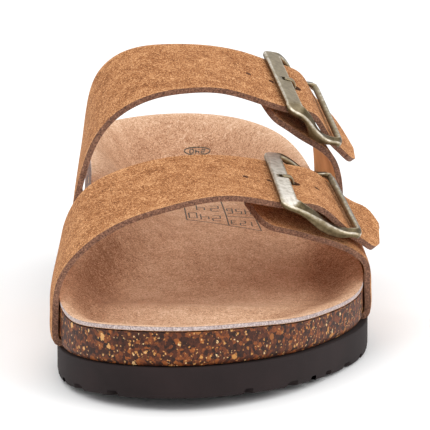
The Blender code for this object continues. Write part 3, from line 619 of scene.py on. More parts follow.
def capped(bm, sides):
    """Merges the seams of lofted bars and closes their open ends, which have up to this many sides."""
    bmesh.ops.remove_doubles(bm, verts=bm.verts[:], dist=MERGE_MM * MM)
    bmesh.ops.holes_fill(bm, edges=[e for e in bm.edges if e.is_boundary], sides=sides)


SHARP_DEG = 38.0


def made_object(name, bm, materials, sharp_deg=SHARP_DEG):
    """An object in the scene with this mesh, smooth up to this angle."""
    mesh = bpy.data.meshes.new(name)
    bm.to_mesh(mesh)
    bm.free()
    mesh.shade_smooth()
    mesh.set_sharp_from_angle(angle=math.radians(sharp_deg))
    for material in materials:
        mesh.materials.append(material)
    item = bpy.data.objects.new(name, mesh)
    bpy.context.scene.collection.objects.link(item)
    return item


def settled(item, sharp_deg=SHARP_DEG):
    """Applies the item's modifiers to its mesh."""
    graph = bpy.context.evaluated_depsgraph_get()
    mesh = bpy.data.meshes.new_from_object(item.evaluated_get(graph))
    item.modifiers.clear()
    old = item.data
    item.data = mesh
    bpy.data.meshes.remove(old)
    mesh.shade_smooth()
    mesh.set_sharp_from_angle(angle=math.radians(sharp_deg))
    return item


def combined(item, other, operation, solver="EXACT"):
    """Joins or cuts item with the closed mesh of other, which is then removed."""
    modifier = item.modifiers.new(operation.title(), "BOOLEAN")
    modifier.operation = operation
    modifier.solver = solver
    modifier.object = other
    settled(item)
    bpy.data.objects.remove(other, do_unlink=True)


def tool(name, bm, material_index=0):
    """A closed mesh that joins or cuts a piece, whose new faces take this material of the piece."""
    bmesh.ops.recalc_face_normals(bm, faces=bm.faces[:])
    for f in bm.faces:
        f.material_index = material_index
    return made_object(name, bm, [])


def round_bar(start, end, radius, segments=20, material_index=0):
    """A round bar between two points."""
    bm = bmesh.new()
    run = end - start
    bmesh.ops.create_cone(
        bm, cap_ends=True, segments=segments, radius1=radius, radius2=radius, depth=run.length
    )
    turn = run.to_track_quat("Z", "Y").to_matrix().to_4x4()
    bmesh.ops.transform(bm, matrix=Matrix.Translation((start + end) / 2) @ turn, verts=bm.verts[:])
    return tool("round_bar", bm, material_index)


# Materials


def srgb(hex_value, alpha=1.0):
    """A hex colour as the linear numbers that the shader takes."""
    found = []
    for k in (1, 3, 5):
        c = int(hex_value[k : k + 2], 16) / 255
        found.append(c / 12.92 if c <= 0.04045 else ((c + 0.055) / 1.055) ** 2.4)
    return (*found, alpha)


def fed(tree, made, values=None, links=None):
    """Sets a node's constant inputs and links its other ones."""
    for key, value in (values or {}).items():
        made.inputs[key].default_value = value
    for key, source in (links or {}).items():
        tree.links.new(source, made.inputs[key])


def node(tree, kind, values=None, links=None, **settings):
    """Adds one node with its settings, its constant inputs and its linked ones."""
    made = tree.nodes.new(kind)
    for name, value in settings.items():
        setattr(made, name, value)
    fed(tree, made, values, links)
    return made


def started(name):
    """A new material, its tree and its shader, and the link that gives a pattern its place on the piece."""
    material = bpy.data.materials.new(name)
    material.use_nodes = True
    tree = material.node_tree
    on_piece = {"Vector": node(tree, "ShaderNodeTexCoord").outputs["Object"]}
    return material, tree, tree.nodes["Principled BSDF"], on_piece


def per_mm(size_mm):
    """The pattern scale whose features measure this many millimetres."""
    return 1000.0 / size_mm


def noise(tree, on_piece, size_mm, **values):
    """A noise pattern on the piece, whose features measure this many millimetres."""
    values["Scale"] = per_mm(size_mm)
    return node(tree, "ShaderNodeTexNoise", values, on_piece).outputs["Fac"]


def wear_and_light_of(tree):
    """The marks that the mesh carries: worn places, painted shade and painted highlight."""
    return node(tree, "ShaderNodeAttribute", attribute_name="wear_and_light").outputs["Fac"]


def summed(tree, *parts):
    """The sum of patterns, each given with its weight."""
    total = None
    for weight, pattern in parts:
        if total is None:
            total = node(tree, "ShaderNodeMath", {1: weight}, {0: pattern}, operation="MULTIPLY").outputs[0]
        else:
            total = node(
                tree, "ShaderNodeMath", {1: weight}, {0: pattern, 2: total}, operation="MULTIPLY_ADD"
            ).outputs[0]
    return total


def ramped(tree, pattern, *stops):
    """The colours that a pattern takes from a ramp's (place, colour) stops."""
    made = node(tree, "ShaderNodeValToRGB", links={"Fac": pattern})
    elements = made.color_ramp.elements
    for k, (place, colour) in enumerate(stops):
        stop = elements[k] if k < 2 else elements.new(place)
        stop.position = place
        stop.color = srgb(colour)
    return made.outputs["Color"]


def finished(tree, shader, values, colour, height, strength, depth_mm):
    """Gives the shader its constant inputs, its colour, and a relief that follows the height pattern."""
    bump = node(tree, "ShaderNodeBump", {"Strength": strength, "Distance": depth_mm * MM}, {"Height": height})
    fed(tree, shader, values, {"Base Color": colour, "Normal": bump.outputs["Normal"]})


# Pile, edge fibres, pores and the foam's grain really measure 0.1 to 0.3 mm. They are drawn at 0.5 to 0.75 mm,
# because they are too fine to show in the render. The cork's granules and crumbs have their real size.
def napped_suede(name, shades, grain_mm, patch_mm, wear_and_shade_weight, sheen):
    """Split leather with a brushed nap: curly flecks of light and dark pile on soft patches, no gloss.

    The weight of the mesh's marks moves the piece along its shades, lighter above 0 and darker below. On the
    straps the marks are worn edges; on the footbed they are partly worn nap and partly painted shade.
    """
    material, tree, shader, on_piece = started(name)
    pile = noise(tree, on_piece, grain_mm, Detail=2.0, Roughness=0.7, Distortion=1.6)
    hairs = noise(tree, on_piece, grain_mm * 0.45, Detail=1.0, Distortion=0.8)
    patch = noise(tree, on_piece, patch_mm, Detail=3.0, Roughness=0.55)
    # The mesh's marks: worn edges on the straps, partly worn nap and partly painted shade on the footbed
    total = summed(tree, (0.62, pile), (0.36, hairs), (0.16, patch), (wear_and_shade_weight, wear_and_light_of(tree)))
    values = {
        "Roughness": 0.95, "IOR": 1.4, "Specular IOR Level": 0.15,
        "Sheen Weight": sheen, "Sheen Roughness": 0.6, "Sheen Tint": srgb("#E0B894"),
    }
    raised = summed(tree, (1.0, pile), (0.5, hairs))
    finished(tree, shader, values, ramped(tree, total, *shades), raised, 0.6, 0.2)
    return material


def smooth_lining(name):
    """Full-grain lining leather, finished smooth: fine pores and a low waxy gloss."""
    material, tree, shader, on_piece = started(name)
    cloudy = noise(tree, on_piece, 9.0, Detail=3.0)
    colour = ramped(tree, cloudy, (0.3, "#BC7E44"), (0.5, "#D29456"), (0.72, "#E2A86C"))
    pores = node(tree, "ShaderNodeTexVoronoi", {"Scale": per_mm(0.7)}, on_piece)
    finished(tree, shader, {"Roughness": 0.55}, colour, pores.outputs["Distance"], 0.3, 0.1)
    return material


def painted_edge(name, shades, rough, fuzz):
    """A cut leather edge sealed with edge paint: uneven, with fibres that show through."""
    material, tree, shader, on_piece = started(name)
    fibres = noise(tree, on_piece, 0.5, Detail=3.0, Roughness=0.65)
    finished(tree, shader, {"Roughness": rough}, ramped(tree, fibres, *shades), fibres, fuzz, 0.2)
    return material


def stamp_ink(name):
    """Dark ink stamped on the nap: it has sunk in unevenly, so the line is broken by paler pile."""
    material, tree, shader, on_piece = started(name)
    broken = noise(tree, on_piece, 0.6, Detail=2.0)
    colour = ramped(tree, broken, (0.4, "#45413A"), (0.55, "#5F564A"), (0.7, "#94796A"))
    fed(tree, shader, {"Roughness": 0.9}, {"Base Color": colour})
    return material


PALE_FLECKS = [
    # grid size in millimetres, share of its crumbs left out, a crumb's reach as a share of the grid
    (2.3, 0.9, 0.4),
    (1.1, 0.9, 0.42),
    (0.6, 0.88, 0.42),
]


def sealed_cork(name):
    """Agglomerated cork, ground smooth and sealed: dark granules, orange ones, and pale broken flecks."""
    material, tree, shader, on_piece = started(name)
    ragged = node(
        tree, "ShaderNodeTexNoise", {"Scale": per_mm(0.8), "Detail": 3.0, "Roughness": 0.75}, on_piece
    )
    # The granules' outlines are moved by up to 1.2 mm, so that they look torn
    torn = 1.2 * MM
    moved = node(tree, "ShaderNodeVectorMath", {1: (torn, torn, torn)},
                 {0: ragged.outputs["Color"], 2: on_piece["Vector"]}, operation="MULTIPLY_ADD").outputs[0]
    granule = node(tree, "ShaderNodeTexVoronoi", {"Scale": per_mm(1.15)}, {"Vector": moved})
    which = node(tree, "ShaderNodeSeparateColor", links={"Color": granule.outputs["Color"]})
    mottle = noise(tree, on_piece, 1.1, Detail=4.0, Roughness=0.75)
    total = summed(tree, (0.45, which.outputs["Red"]), (0.6, mottle))
    colour = ramped(
        tree, total,
        (0.3, "#26120A"), (0.44, "#3D1D10"), (0.57, "#512816"), (0.68, "#70391B"), (0.8, "#985422"),
    )
    for size_mm, chance, reach in PALE_FLECKS:
        crumb = node(tree, "ShaderNodeTexVoronoi", {"Scale": per_mm(size_mm)}, {"Vector": moved})
        drawn = node(tree, "ShaderNodeSeparateColor", links={"Color": crumb.outputs["Color"]}).outputs
        pale = ramped(
            tree, drawn["Blue"], (0.0, "#8F5426"), (0.45, "#BC8244"), (0.8, "#D6A468"), (1.0, "#E6C694")
        )
        chosen = node(tree, "ShaderNodeMath", {1: chance}, {0: drawn["Green"]}, operation="GREATER_THAN")
        near = node(tree, "ShaderNodeMath", {1: reach}, {0: crumb.outputs["Distance"]},
                    operation="LESS_THAN")
        shown = node(tree, "ShaderNodeMath", links={0: chosen.outputs[0], 1: near.outputs[0]},
                     operation="MULTIPLY").outputs[0]
        colour = node(
            tree, "ShaderNodeMix", links={0: shown, 6: colour, 7: pale}, data_type="RGBA"
        ).outputs[2]
    finished(tree, shader, {"Roughness": 0.6, "Specular IOR Level": 0.3}, colour, total, 0.5, 0.25)
    return material


def moulded_foam(name):
    """EVA foam with a moulded skin: dark, matt, faintly grained."""
    material, tree, shader, on_piece = started(name)
    grain = noise(tree, on_piece, 0.6, Detail=3.0)
    colour = ramped(tree, noise(tree, on_piece, 14.0, Detail=3.0), (0.3, "#1B1111"), (0.7, "#261A1A"))
    finished(tree, shader, {"Roughness": 0.8, "Specular IOR Level": 0.3}, colour, grain, 0.35, 0.1)
    return material


def antique_brass(name):
    """Plated zinc with an antique finish: dark in its hollows, brushed bright on its worn edges, with a
    painted highlight on the plate.
    """
    material, tree, shader, on_piece = started(name)
    stain = noise(tree, on_piece, 1.6, Detail=4.0, Roughness=0.65)
    # The mesh's marks: worn edges, and a painted highlight on the plate
    total = summed(tree, (0.6, stain), (0.62, wear_and_light_of(tree)))
    colour = ramped(tree, total, (0.2, "#352B1F"), (0.42, "#695B42"), (0.7, "#998B70"), (1.0, "#F4EDE2"))
    finished(tree, shader, {"Metallic": 1.0, "Roughness": 0.36}, colour, stain, 0.15, 0.1)
    return material


def matt_paper(name, colour):
    """Seamless backdrop paper: pale, matt, and too smooth to show a grain."""
    material, tree, shader, on_piece = started(name)
    fed(tree, shader, {"Base Color": srgb(colour), "Roughness": 1.0})
    return material


STRAP_SUEDE = napped_suede(
    "strap_suede_nap",
    ((0.46, "#5C3116"), (0.53, "#905731"), (0.595, "#B27748"), (0.67, "#DEAA7A")),
    grain_mm=0.7, patch_mm=5.0, wear_and_shade_weight=0.04, sheen=0.15,
)
LINING = smooth_lining("strap_lining_leather")
STRAP_EDGE = painted_edge(
    "strap_edge_paint", ((0.35, "#4A2F24"), (0.5, "#77503B"), (0.68, "#A27860")), rough=0.75, fuzz=0.7
)
# The footbed's marks darken its nap: partly worn nap, partly painted shade beside the ball of the foot
BED_SUEDE = napped_suede(
    "footbed_suede_nap",
    ((0.40, "#8A5E44"), (0.52, "#C09474"), (0.60, "#D6AC8C"), (0.70, "#EDCDB0")),
    grain_mm=0.75, patch_mm=7.0, wear_and_shade_weight=-0.15, sheen=0.12,
)
BED_EDGE = painted_edge(
    "footbed_cut_edge", ((0.35, "#857270"), (0.5, "#B8A7A4"), (0.68, "#DCCFC8")), rough=0.9, fuzz=0.9
)
STAMP_INK = stamp_ink("footbed_stamp_ink")
CORK = sealed_cork("cork_granules_sealed")
FOAM = moulded_foam("outsole_eva_foam")
METAL = antique_brass("buckle_antique_brass")


# Sole

TURN_STEPS = 288


def turn_list():
    """The angles round the outline at which its rings have their points."""
    return [2 * math.pi * i / TURN_STEPS for i in range(TURN_STEPS)]


def ring_of(point_at, *sizes):
    """The ring of points that point_at(turn, *sizes) gives all round the outline."""
    return [point_at(turn, *sizes) for turn in turn_list()]


def bed_point(turn, share, drop):
    """A point of the footbed's face, this share of the way in from the rim, lowered by drop."""
    p, z = footbed_height(turn, share)
    return (p.x, p.y, z - drop)


BED_ROWS = 40
RIM_CROWDING = 1.7
BED_SHARES = [(k / BED_ROWS) ** RIM_CROWDING for k in range(BED_ROWS + 1)]
BED_ROUND = 0.35


def bed_wear_and_shade(turn, share):
    """How much darker the nap is drawn, by place. Beside the ball of the foot it is partly worn nap and partly
    painted shade from the front strap and the footbed's walls; it is a little darker in the arch, and lighter
    than bare within a few millimetres of the rim. Places are millimetres along the sole, and in from the rim.
    """
    edge = rim_point(turn)
    inset = (edge.lerp(spine_point(turn), share) - edge).length
    y = edge.y + (spine_point(turn).y - edge.y) * share
    # ball and hollow darken the nap beside the ball of the foot: partly worn nap, partly painted shade from
    # the front strap and the walls
    ball = eased((y + 112.0) / 22.0) * eased((10.0 - y) / 40.0)
    hollow = math.exp(-(((inset - 9.0) / 7.0) ** 2))
    arch = 0.35 * math.exp(-(((inset - 14.0) / 9.0) ** 2)) * eased(y / 30.0)
    pale = 0.35 * math.exp(-inset / 3.0)
    return hollow * ball * abs(math.sin(turn)) ** 1.5 + arch - pale


# The stamps on the footbed: an oval on the heel's wall and a ruled box further forward, with plain numbers
INK_WIDE = 0.42
INK_STEP = 0.6
INK_ABOVE = 0.03
INK_BELOW = 0.05
PRESS_FROM = 6.0
OVAL_REACH = (4.3, 1.5)
STAMPS = {
    # name: middle (x, y, z), direction of its width, direction it is pressed in
    "oval": ((3.2, 108.1, 34.2), (0.97, -0.22, 0.03), (0.10, 0.70, -0.71)),
    "box": ((0.0, 0.0, 60.0), (1.0, 0.0, 0.0), (0.0, 0.0, -1.0)),
}
RULES = [
    # points of each ruled line
    ((-4.1, 56.0), (-4.0, 41.2), (-3.9, 27.1)),
    ((-3.9, 27.1), (8.8, 20.0), (18.6, 15.8)),
    ((18.6, 15.8), (17.8, 25.7), (16.4, 52.0)),
    ((8.8, 20.0), (8.6, 31.4), (7.8, 54.0)),
    ((-4.1, 56.0), (7.8, 54.0), (16.4, 52.0)),
    ((8.6, 31.4), (17.3, 29.4)),
]
PLAIN_NUMBERS = [
    # stamp, digits, middle of the first one, step to the next, half width, half height
    ("oval", "240", (1.9, 0.0), (-1.9, 0.0), 0.55, -0.7),
    ("box", "240", (5.4, 28.6), (-3.6, 2.0), 1.2, -3.2),
    ("box", "24", (5.4, 41.0), (-4.4, 1.4), 1.2, -3.4),
    ("box", "123", (16.0, 22.4), (-2.7, 0.9), 0.8, -2.4),
    ("box", "456", (15.6, 36.6), (-2.8, 0.6), 0.8, -3.0),
]
DIGIT_STROKES = {
    # strokes on a grid one half width and one half height from the middle
    "0": [((-1, -1), (-1, 1), (1, 1), (1, -1), (-1, -1))],
    "1": [((0, -1), (0, 1))],
    "2": [((-1, 1), (1, 1), (1, 0), (-1, 0), (-1, -1), (1, -1))],
    "3": [((-1, 1), (1, 1), (1, -1), (-1, -1)), ((-0.4, 0), (1, 0))],
    "4": [((-1, 1), (-1, 0), (1, 0)), ((1, 1), (1, -1))],
    "5": [((1, 1), (-1, 1), (-1, 0), (1, 0), (1, -1), (-1, -1))],
    "6": [((1, 1), (-1, 1), (-1, -1), (1, -1), (1, 0), (-1, 0))],
}


def stamp_lines():
    """Every line of the stamps, as the stamp's name and points on its plan."""
    angles = [2 * math.pi * k / 40 for k in range(41)]
    oval = [(OVAL_REACH[0] * math.cos(a), OVAL_REACH[1] * math.sin(a)) for a in angles]
    lines = [("oval", oval)] + [("box", list(rule)) for rule in RULES]
    for stamp, digits, first, step, half_wide, half_high in PLAIN_NUMBERS:
        for n, digit in enumerate(digits):
            middle = first[0] + step[0] * n, first[1] + step[1] * n
            for stroke in DIGIT_STROKES[digit]:
                points = [(middle[0] - x * half_wide, middle[1] + y * half_high) for x, y in stroke]
                lines.append((stamp, points))
    return lines


def stamped(bm):
    """Lays thin strips of ink along the stamps' lines, on the footbed's face."""
    surface = BVHTree.FromBMesh(bm)
    for stamp, line in stamp_lines():
        middle, wide, press = (Vector(v) for v in STAMPS[stamp])
        wide.normalize()
        press.normalize()
        high = wide.cross(press)
        fine = []
        for a, b in zip(line, line[1:]):
            count = max(1, math.ceil(math.dist(a, b) / INK_STEP))
            for k in range(count):
                fine.append((a[0] + (b[0] - a[0]) * k / count, a[1] + (b[1] - a[1]) * k / count))
        fine.append(line[-1])
        laid = []
        for x, y in fine:
            start = middle + wide * x + high * y - press * PRESS_FROM
            spot, normal = surface.ray_cast(world(start), press)[:2]
            laid.append((spot / MM - CENTRING, normal if normal.dot(press) < 0 else -normal))
        rows = []
        for k, (p, normal) in enumerate(laid):
            travel = laid[min(k + 1, len(laid) - 1)][0] - laid[max(k - 1, 0)][0]
            beside = travel.cross(normal).normalized() * (INK_WIDE / 2)
            low, top = p - normal * INK_BELOW, p + normal * INK_ABOVE
            rows.append([top - beside, top + beside, low + beside, low - beside])
        lofted(bm, closed_rows(rows), bands=[2] * (len(rows) - 1))


def build_footbed():
    """The suede lining: its face, its cut edge and its underside, with the stamps laid on its face."""
    rows, bands, marks = [], [], []
    for share in reversed(BED_SHARES):
        rows.append(ring_of(bed_point, share, 0.0))
        # The face's marks: partly worn nap, partly painted shade beside the ball of the foot
        marks.append([bed_wear_and_shade(turn, share) for turn in turn_list() + [0.0]])
    bands += [0] * BED_ROWS
    for share in BED_SHARES:
        rows.append(ring_of(bed_point, share, INSOLE_THICK))
        marks.append([0.0] * (TURN_STEPS + 1))
    bands += [1] + [0] * BED_ROWS
    bm = bmesh.new()
    lofted(bm, closed_rows(rows), bands, marks)
    tidy_mesh(bm)
    rim = [e for e in bm.edges if len(e.link_faces) == 2 and e.calc_face_angle(0) > math.radians(40)]
    bmesh.ops.bevel(
        bm, geom=rim, offset=BED_ROUND * MM, affect="EDGES", segments=3, profile=0.5, material=-1
    )
    stamped(bm)
    item = made_object("footbed_suede", bm, [BED_SUEDE, BED_EDGE, STAMP_INK])
    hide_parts("suede_insole")
    return item


def tucked(turn):
    """How deep the cork's foot is cut back at this angle, to take the tucked leather (0 to 1)."""
    y = MIDDLE_Y + HALF_LENGTH * math.cos(turn)
    side = 1 if math.sin(turn) > 0 else -1
    front, rear = (FRONT_LONG, REAR_LONG) if side < 0 else (FRONT_SHORT, REAR_SHORT)
    y_front, y_rear = front[0][1][1] - 2.0, rear[0][2][1] + 2.0
    return eased((y - y_front) / 1.2 + 1) * eased((y_rear - y) / 1.2 + 1)


CORK_DROP = INSOLE_THICK + GAP
CORK_SIDE_ROWS = 26
RECESS_FOOT = RECESS_DEPTH + 0.2
CORK_FOOT = [
    # inset and height of each ring where the cork is whole, then where it is cut back
    (0.0, 2.4, 3.0, RECESS_HEIGHT),
    (0.0, 1.6, RECESS_DEPTH, RECESS_HEIGHT),
    (CORK_FOOT_INSET, 0.0, RECESS_FOOT, 0.0),
]


def cork_side_point(turn, share):
    """A point of the cork's side, from under the lining (share 0) down to the recess (share 1)."""
    top, z = footbed_height(turn, 0.0)
    p = edge_point(turn)
    foot_z = sole_top(p.y) + GAP + RECESS_HEIGHT
    q = top.lerp(p, share)
    return (q.x, q.y, z - CORK_DROP + (foot_z - z + CORK_DROP) * share)


def cork_foot_point(turn, inset, up, cut_inset, cut_up):
    """A point of the cork's foot, between its whole form and its cut back one."""
    deep = tucked(turn)
    p = edge_point(turn, -(inset + (cut_inset - inset) * deep))
    return (p.x, p.y, sole_top(p.y) + GAP + up + (cut_up - up) * deep)


def cork_under_point(turn, share):
    """A point of the cork's underside, from its foot (share 0) to the middle line (share 1)."""
    p = edge_point(turn, -(CORK_FOOT_INSET + (RECESS_FOOT - CORK_FOOT_INSET) * tucked(turn)))
    q = p.lerp(spine_point(turn), share)
    return (q.x, q.y, sole_top(q.y) + GAP)


def build_cork():
    """The midsole: its face under the lining, its side, the recess for the tucked leather, its underside."""
    rows = [ring_of(bed_point, share, CORK_DROP) for share in reversed(BED_SHARES)]
    rows += [ring_of(cork_side_point, (k + 1) / CORK_SIDE_ROWS) for k in range(CORK_SIDE_ROWS)]
    rows += [ring_of(cork_foot_point, *sizes) for sizes in CORK_FOOT]
    rows += [ring_of(cork_under_point, share) for share in (0.1, 0.3, 0.6, 1.0)]
    bm = bmesh.new()
    lofted(bm, closed_rows(rows))
    tidy_mesh(bm)
    item = made_object("cork_midsole", bm, [CORK])
    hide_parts("cork_footbed")
    return item


SOLE_LIP = [
    # inset of each ring below the outsole's top edge, and how far down it lies
    (0.5, 0.0),
    (0.2, 0.08),
    (0.05, 0.3),
    (0.0, 0.6),
    (0.0, 2.5),
]
SOLE_FOOT = [
    # inset, height, share of the way in to the middle line
    (0.0, 6.0, 0.0),
    (0.0, TREAD_DEPTH + 0.5, 0.0),
    (SOLE_FOOT_INSET * 0.8, 0.5, 0.0),
    (SOLE_FOOT_INSET + 0.25, 0.0, 0.0),
    (SOLE_FOOT_INSET + 0.25, 0.0, 0.2),
    (SOLE_FOOT_INSET + 0.25, 0.0, 0.6),
    (SOLE_FOOT_INSET + 0.25, 0.0, 1.0),
]
TREAD_CELLS = 60


def tread_wave(x):
    """A trapezoid wave, which the grooves follow across the sole."""
    phase = (x / TREAD_WAVELENGTH) % 1.0
    tent = 4 * abs(phase - 0.5) - 1
    return TREAD_WAVE * min(1.0, max(-1.0, 1.6 * tent))


def tread_cutter():
    """The bars that cut the tread's grooves, with softened inner corners."""
    bm = bmesh.new()
    count = int((HEEL_Y - TOE_Y) / TREAD_PITCH)
    first = MIDDLE_Y - TREAD_PITCH * (count - 1) / 2
    for k in range(count):
        y = first + TREAD_PITCH * k
        rows = []
        for i in range(TREAD_CELLS + 1):
            x = -TREAD_HALF_WIDTH + 2 * TREAD_HALF_WIDTH * i / TREAD_CELLS
            near, far = y - TREAD_GROOVE / 2 + tread_wave(x), y + TREAD_GROOVE / 2 + tread_wave(x)
            corners = [
                (near, -1), (far, -1), (far - 0.3, TREAD_DEPTH - 0.3), (far - 0.8, TREAD_DEPTH),
                (near + 0.8, TREAD_DEPTH), (near + 0.3, TREAD_DEPTH - 0.3),
            ]
            rows.append([(x, cy, cz) for cy, cz in corners])
        lofted(bm, closed_rows(rows))
    capped(bm, 8)
    return tool("tread_cutter", bm)


def sole_edge(turn, inset):
    """The outsole's edge at this angle, with its flare, moved in by inset."""
    return edge_point(turn, SOLE_FLARE + LATERAL_FLARE * math.sin(turn) - inset)


def sole_top_point(turn, inset, down, share):
    """A point below the outsole's top, this share of the way in, before the toe spring."""
    q = sole_edge(turn, inset).lerp(spine_point(turn), share)
    return (q.x, q.y, sole_top_flat(q.y) - down)


def sole_foot_point(turn, inset, up, share):
    """A point at a height above the floor, this share of the way in, before the toe spring."""
    q = sole_edge(turn, inset).lerp(spine_point(turn), share)
    return (q.x, q.y, up)


def build_outsole():
    """The outsole, made flat and cut with its tread, then bent up at the toe."""
    rows = [ring_of(sole_top_point, 0.0, 0.0, share) for share in (1.0, 0.7, 0.4, 0.2)]
    rows += [ring_of(sole_top_point, inset, down, 0.0) for inset, down in SOLE_LIP]
    rows += [ring_of(sole_foot_point, *sizes) for sizes in SOLE_FOOT]
    bm = bmesh.new()
    lofted(bm, closed_rows(rows))
    tidy_mesh(bm)
    item = made_object("outsole_foam", bm, [FOAM])
    combined(item, tread_cutter(), "DIFFERENCE", "FAST")
    for v in item.data.vertices:
        v.co.z += spring(v.co.y / MM - CENTRING.y) * MM
    item.data.update()
    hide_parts("outsole")
    return item


# Upper

CELL_MM = 1.4
COLUMNS = 30
EDGE_CROWDING = 0.55
EDGE_WEAR_MM = 1.4
WIDTH_ROW = 8
WEB_CELLS = 16
SOFT_EDGE = 0.7


def column_share(c):
    """Columns across a strap, crowded towards its edges."""
    v = c / COLUMNS
    return v - EDGE_CROWDING * math.sin(2 * math.pi * v) / (2 * math.pi)


def strap_rows(strap, counts):
    """Places along the strap: counts[i] cells between its knots i and i + 1."""
    found = []
    for i, count in enumerate(counts):
        a, b = strap.knots[i], strap.knots[i + 1]
        found += [a + (b - a) * k / count for k in range(count)]
    return found + [strap.knots[-1]]


def cell_counts(strap, other):
    """Cells between the strap's knots, as many as the other strap's where the web joins both."""
    counts = []
    for i in range(len(strap.knots) - 1):
        length = strap.knots[i + 1] - strap.knots[i]
        if i < len(ROOT_ROWS):
            length = max(length, other.knots[i + 1] - other.knots[i])
        counts.append(max(2, math.ceil(length / CELL_MM)))
    return counts


def nearest_out(p, side):
    """How far a point lies out from the sole's edge, measured along the edge's own normal."""
    y = p.y
    # Each round slides y along the edge, until the edge's normal passes through the point
    for _ in range(12):
        edge = edge_point(turn_of(y, side))
        normal = edge_point(turn_of(y, side), 1.0) - edge
        away = Vector((p.x, p.y)) - edge
        y += (away - normal * away.dot(normal)).y
    return away.dot(normal)


def edge_wear(distance):
    """How pale the nap is worn at this distance from an edge."""
    return math.exp(-distance / EDGE_WEAR_MM)


def web_rows(front, rear, rows_front, rows_rear):
    """The low web beside the sole, from the rear strap's front edge to the front strap's rear edge."""
    counts = cell_counts(front, rear)
    low, top = sum(counts[: ROOT_NAMES.index("edge")]), sum(counts[: len(ROOT_ROWS)])
    web = []
    for i in range(top + 1):
        p, q = rows_rear[i][-1], rows_front[i][0]
        near = nearest_out(p, front.side), nearest_out(q, front.side)
        row = [p]
        for c in range(1, WEB_CELLS):
            share = c / WEB_CELLS
            y = p.y + (q.y - p.y) * share
            edge = edge_point(turn_of(y, front.side), near[0] + (near[1] - near[0]) * share)
            dip = WEB_DIP * math.sin(math.pi * share) * eased((i - low) / (top - low))
            row.append(Vector((edge.x, edge.y, p.z + (q.z - p.z) * share - dip)))
        web.append(row + [q])
    return web


def build_upper(name, front, rear, node_name, holes):
    """Two straps and the web that joins them, as one wall of leather with punched holes."""
    bm = bmesh.new()
    grids = []
    for strap, other in ((front, rear), (rear, front)):
        rows, marks = [], []
        width = (strap.knot(WIDTH_ROW, 1.0) - strap.knot(WIDTH_ROW, 0.0)).length
        shares = [column_share(c) for c in range(COLUMNS + 1)]
        for u in strap_rows(strap, cell_counts(strap, other)):
            rows.append([strap.at(u, share) for share in shares])
            tip = strap.knots[-1] - u
            marks.append([edge_wear(min(min(share, 1 - share) * width, tip)) for share in shares])
        lofted(bm, rows, marks=marks)
        grids.append(rows)
    web = web_rows(front, rear, *grids)
    below_edge = [(len(web) - 1 - i) * CELL_MM for i in range(len(web))]
    lofted(bm, web, marks=[[edge_wear(distance)] * (WEB_CELLS + 1) for distance in below_edge])
    bmesh.ops.remove_doubles(bm, verts=bm.verts[:], dist=0.002 * MM)
    bmesh.ops.recalc_face_normals(bm, faces=bm.faces[:])
    outward = sum(f.normal.x * f.calc_center_median().x for f in bm.faces)
    if outward < 0:
        bmesh.ops.reverse_faces(bm, faces=bm.faces[:])
    item = made_object(name, bm, [STRAP_SUEDE, LINING, STRAP_EDGE])
    wall = item.modifiers.new("Leather", "SOLIDIFY")
    wall.thickness = STRAP_THICK * MM
    wall.offset = -1
    wall.use_even_offset = False
    wall.material_offset = 1
    wall.material_offset_rim = 2
    soft = item.modifiers.new("Soft edge", "BEVEL")
    soft.width = SOFT_EDGE * MM
    soft.segments = 4
    soft.limit_method = "ANGLE"
    soft.angle_limit = math.radians(50)
    soft.material = 0
    settled(item)
    for p, out, radius in holes:
        start, end = world(p + out * PUNCH_ABOVE), world(p - out * PUNCH_BELOW)
        combined(item, round_bar(start, end, radius * MM, 22, 2), "DIFFERENCE")
    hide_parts(node_name)
    return item


def punched(strap):
    """The long strap's four holes, as point, way out and radius. The prong goes through the widest."""
    prong_u = strap.u_of("plate") - PLATE_BACK + PRONG_HOLE_S
    found = []
    for k in (-2, -1, 0, 1):
        point, along, front, out = strap.frame(prong_u + k * HOLE_PITCH, 0.5)
        found.append((point, out, HOLE_RADIUS if k else PRONG_HOLE_RADIUS))
    return found


# Buckles

FRAME_STEPS = 5
CORNER_WEAR = (0.1, 0.1, 0.6, 0.75, 0.85, 0.7, 0.1, 0.25, 0.1)
FACE_WEAR = 0.12
PRONG_WEAR = 0.55
CAST_EDGE = 0.12


def frame_rows(seat, plate_highlight):
    """The frame's sections, finer than its stations, how bright each corner is worn, and the plate's painted
    highlight.
    """
    stations = frame_stations(seat)
    rows, marks = [], []
    for i, (inner, outer) in enumerate(stations):
        next_inner, next_outer = stations[(i + 1) % len(stations)]
        for k in range(FRAME_STEPS):
            share = k / FRAME_STEPS
            a = [p + (q - p) * share for p, q in zip(inner, next_inner)]
            b = [p + (q - p) * share for p, q in zip(outer, next_outer)]
            points = bar_section(seat, a, b)
            low_in, in_low, in_high, top_in, top_out, out_high, out_low, low_out = points
            middle = top_in.lerp(top_out, 0.5)
            rows.append([
                low_in, in_low, in_high, top_in, top_in.lerp(middle, 0.25), middle,
                top_out.lerp(middle, 0.25), top_out, out_high, out_high.lerp(out_low, 0.5), out_low, low_out,
            ])
            # On the plate the face carries a painted highlight, stronger on the front buckle than on the rear
            # one
            on_plate = eased((seat.near - min(a[0], b[0])) / 2.0)
            face = FACE_WEAR + plate_highlight * on_plate
            marks.append([*CORNER_WEAR[:4], face, face - 0.05, face, *CORNER_WEAR[4:]])
    return rows, marks


def notch_cutter(seat):
    """The notch in the plate's inner edge that the prong's tip rests in."""
    low, high = PLATE_TOP - NOTCH_DEEP, PLATE_TOP + 2.0
    rows = []
    for s in (NOTCH_FROM, PLATE_LENGTH + 1.5):
        corners = [(-1, low), (1, low), (1, high), (-1, high)]
        rows.append([seat.at(s, t * NOTCH_WIDE / 2, h) for t, h in corners])
    bm = bmesh.new()
    lofted(bm, closed_rows(rows))
    capped(bm, 8)
    return tool("notch_cutter", bm)


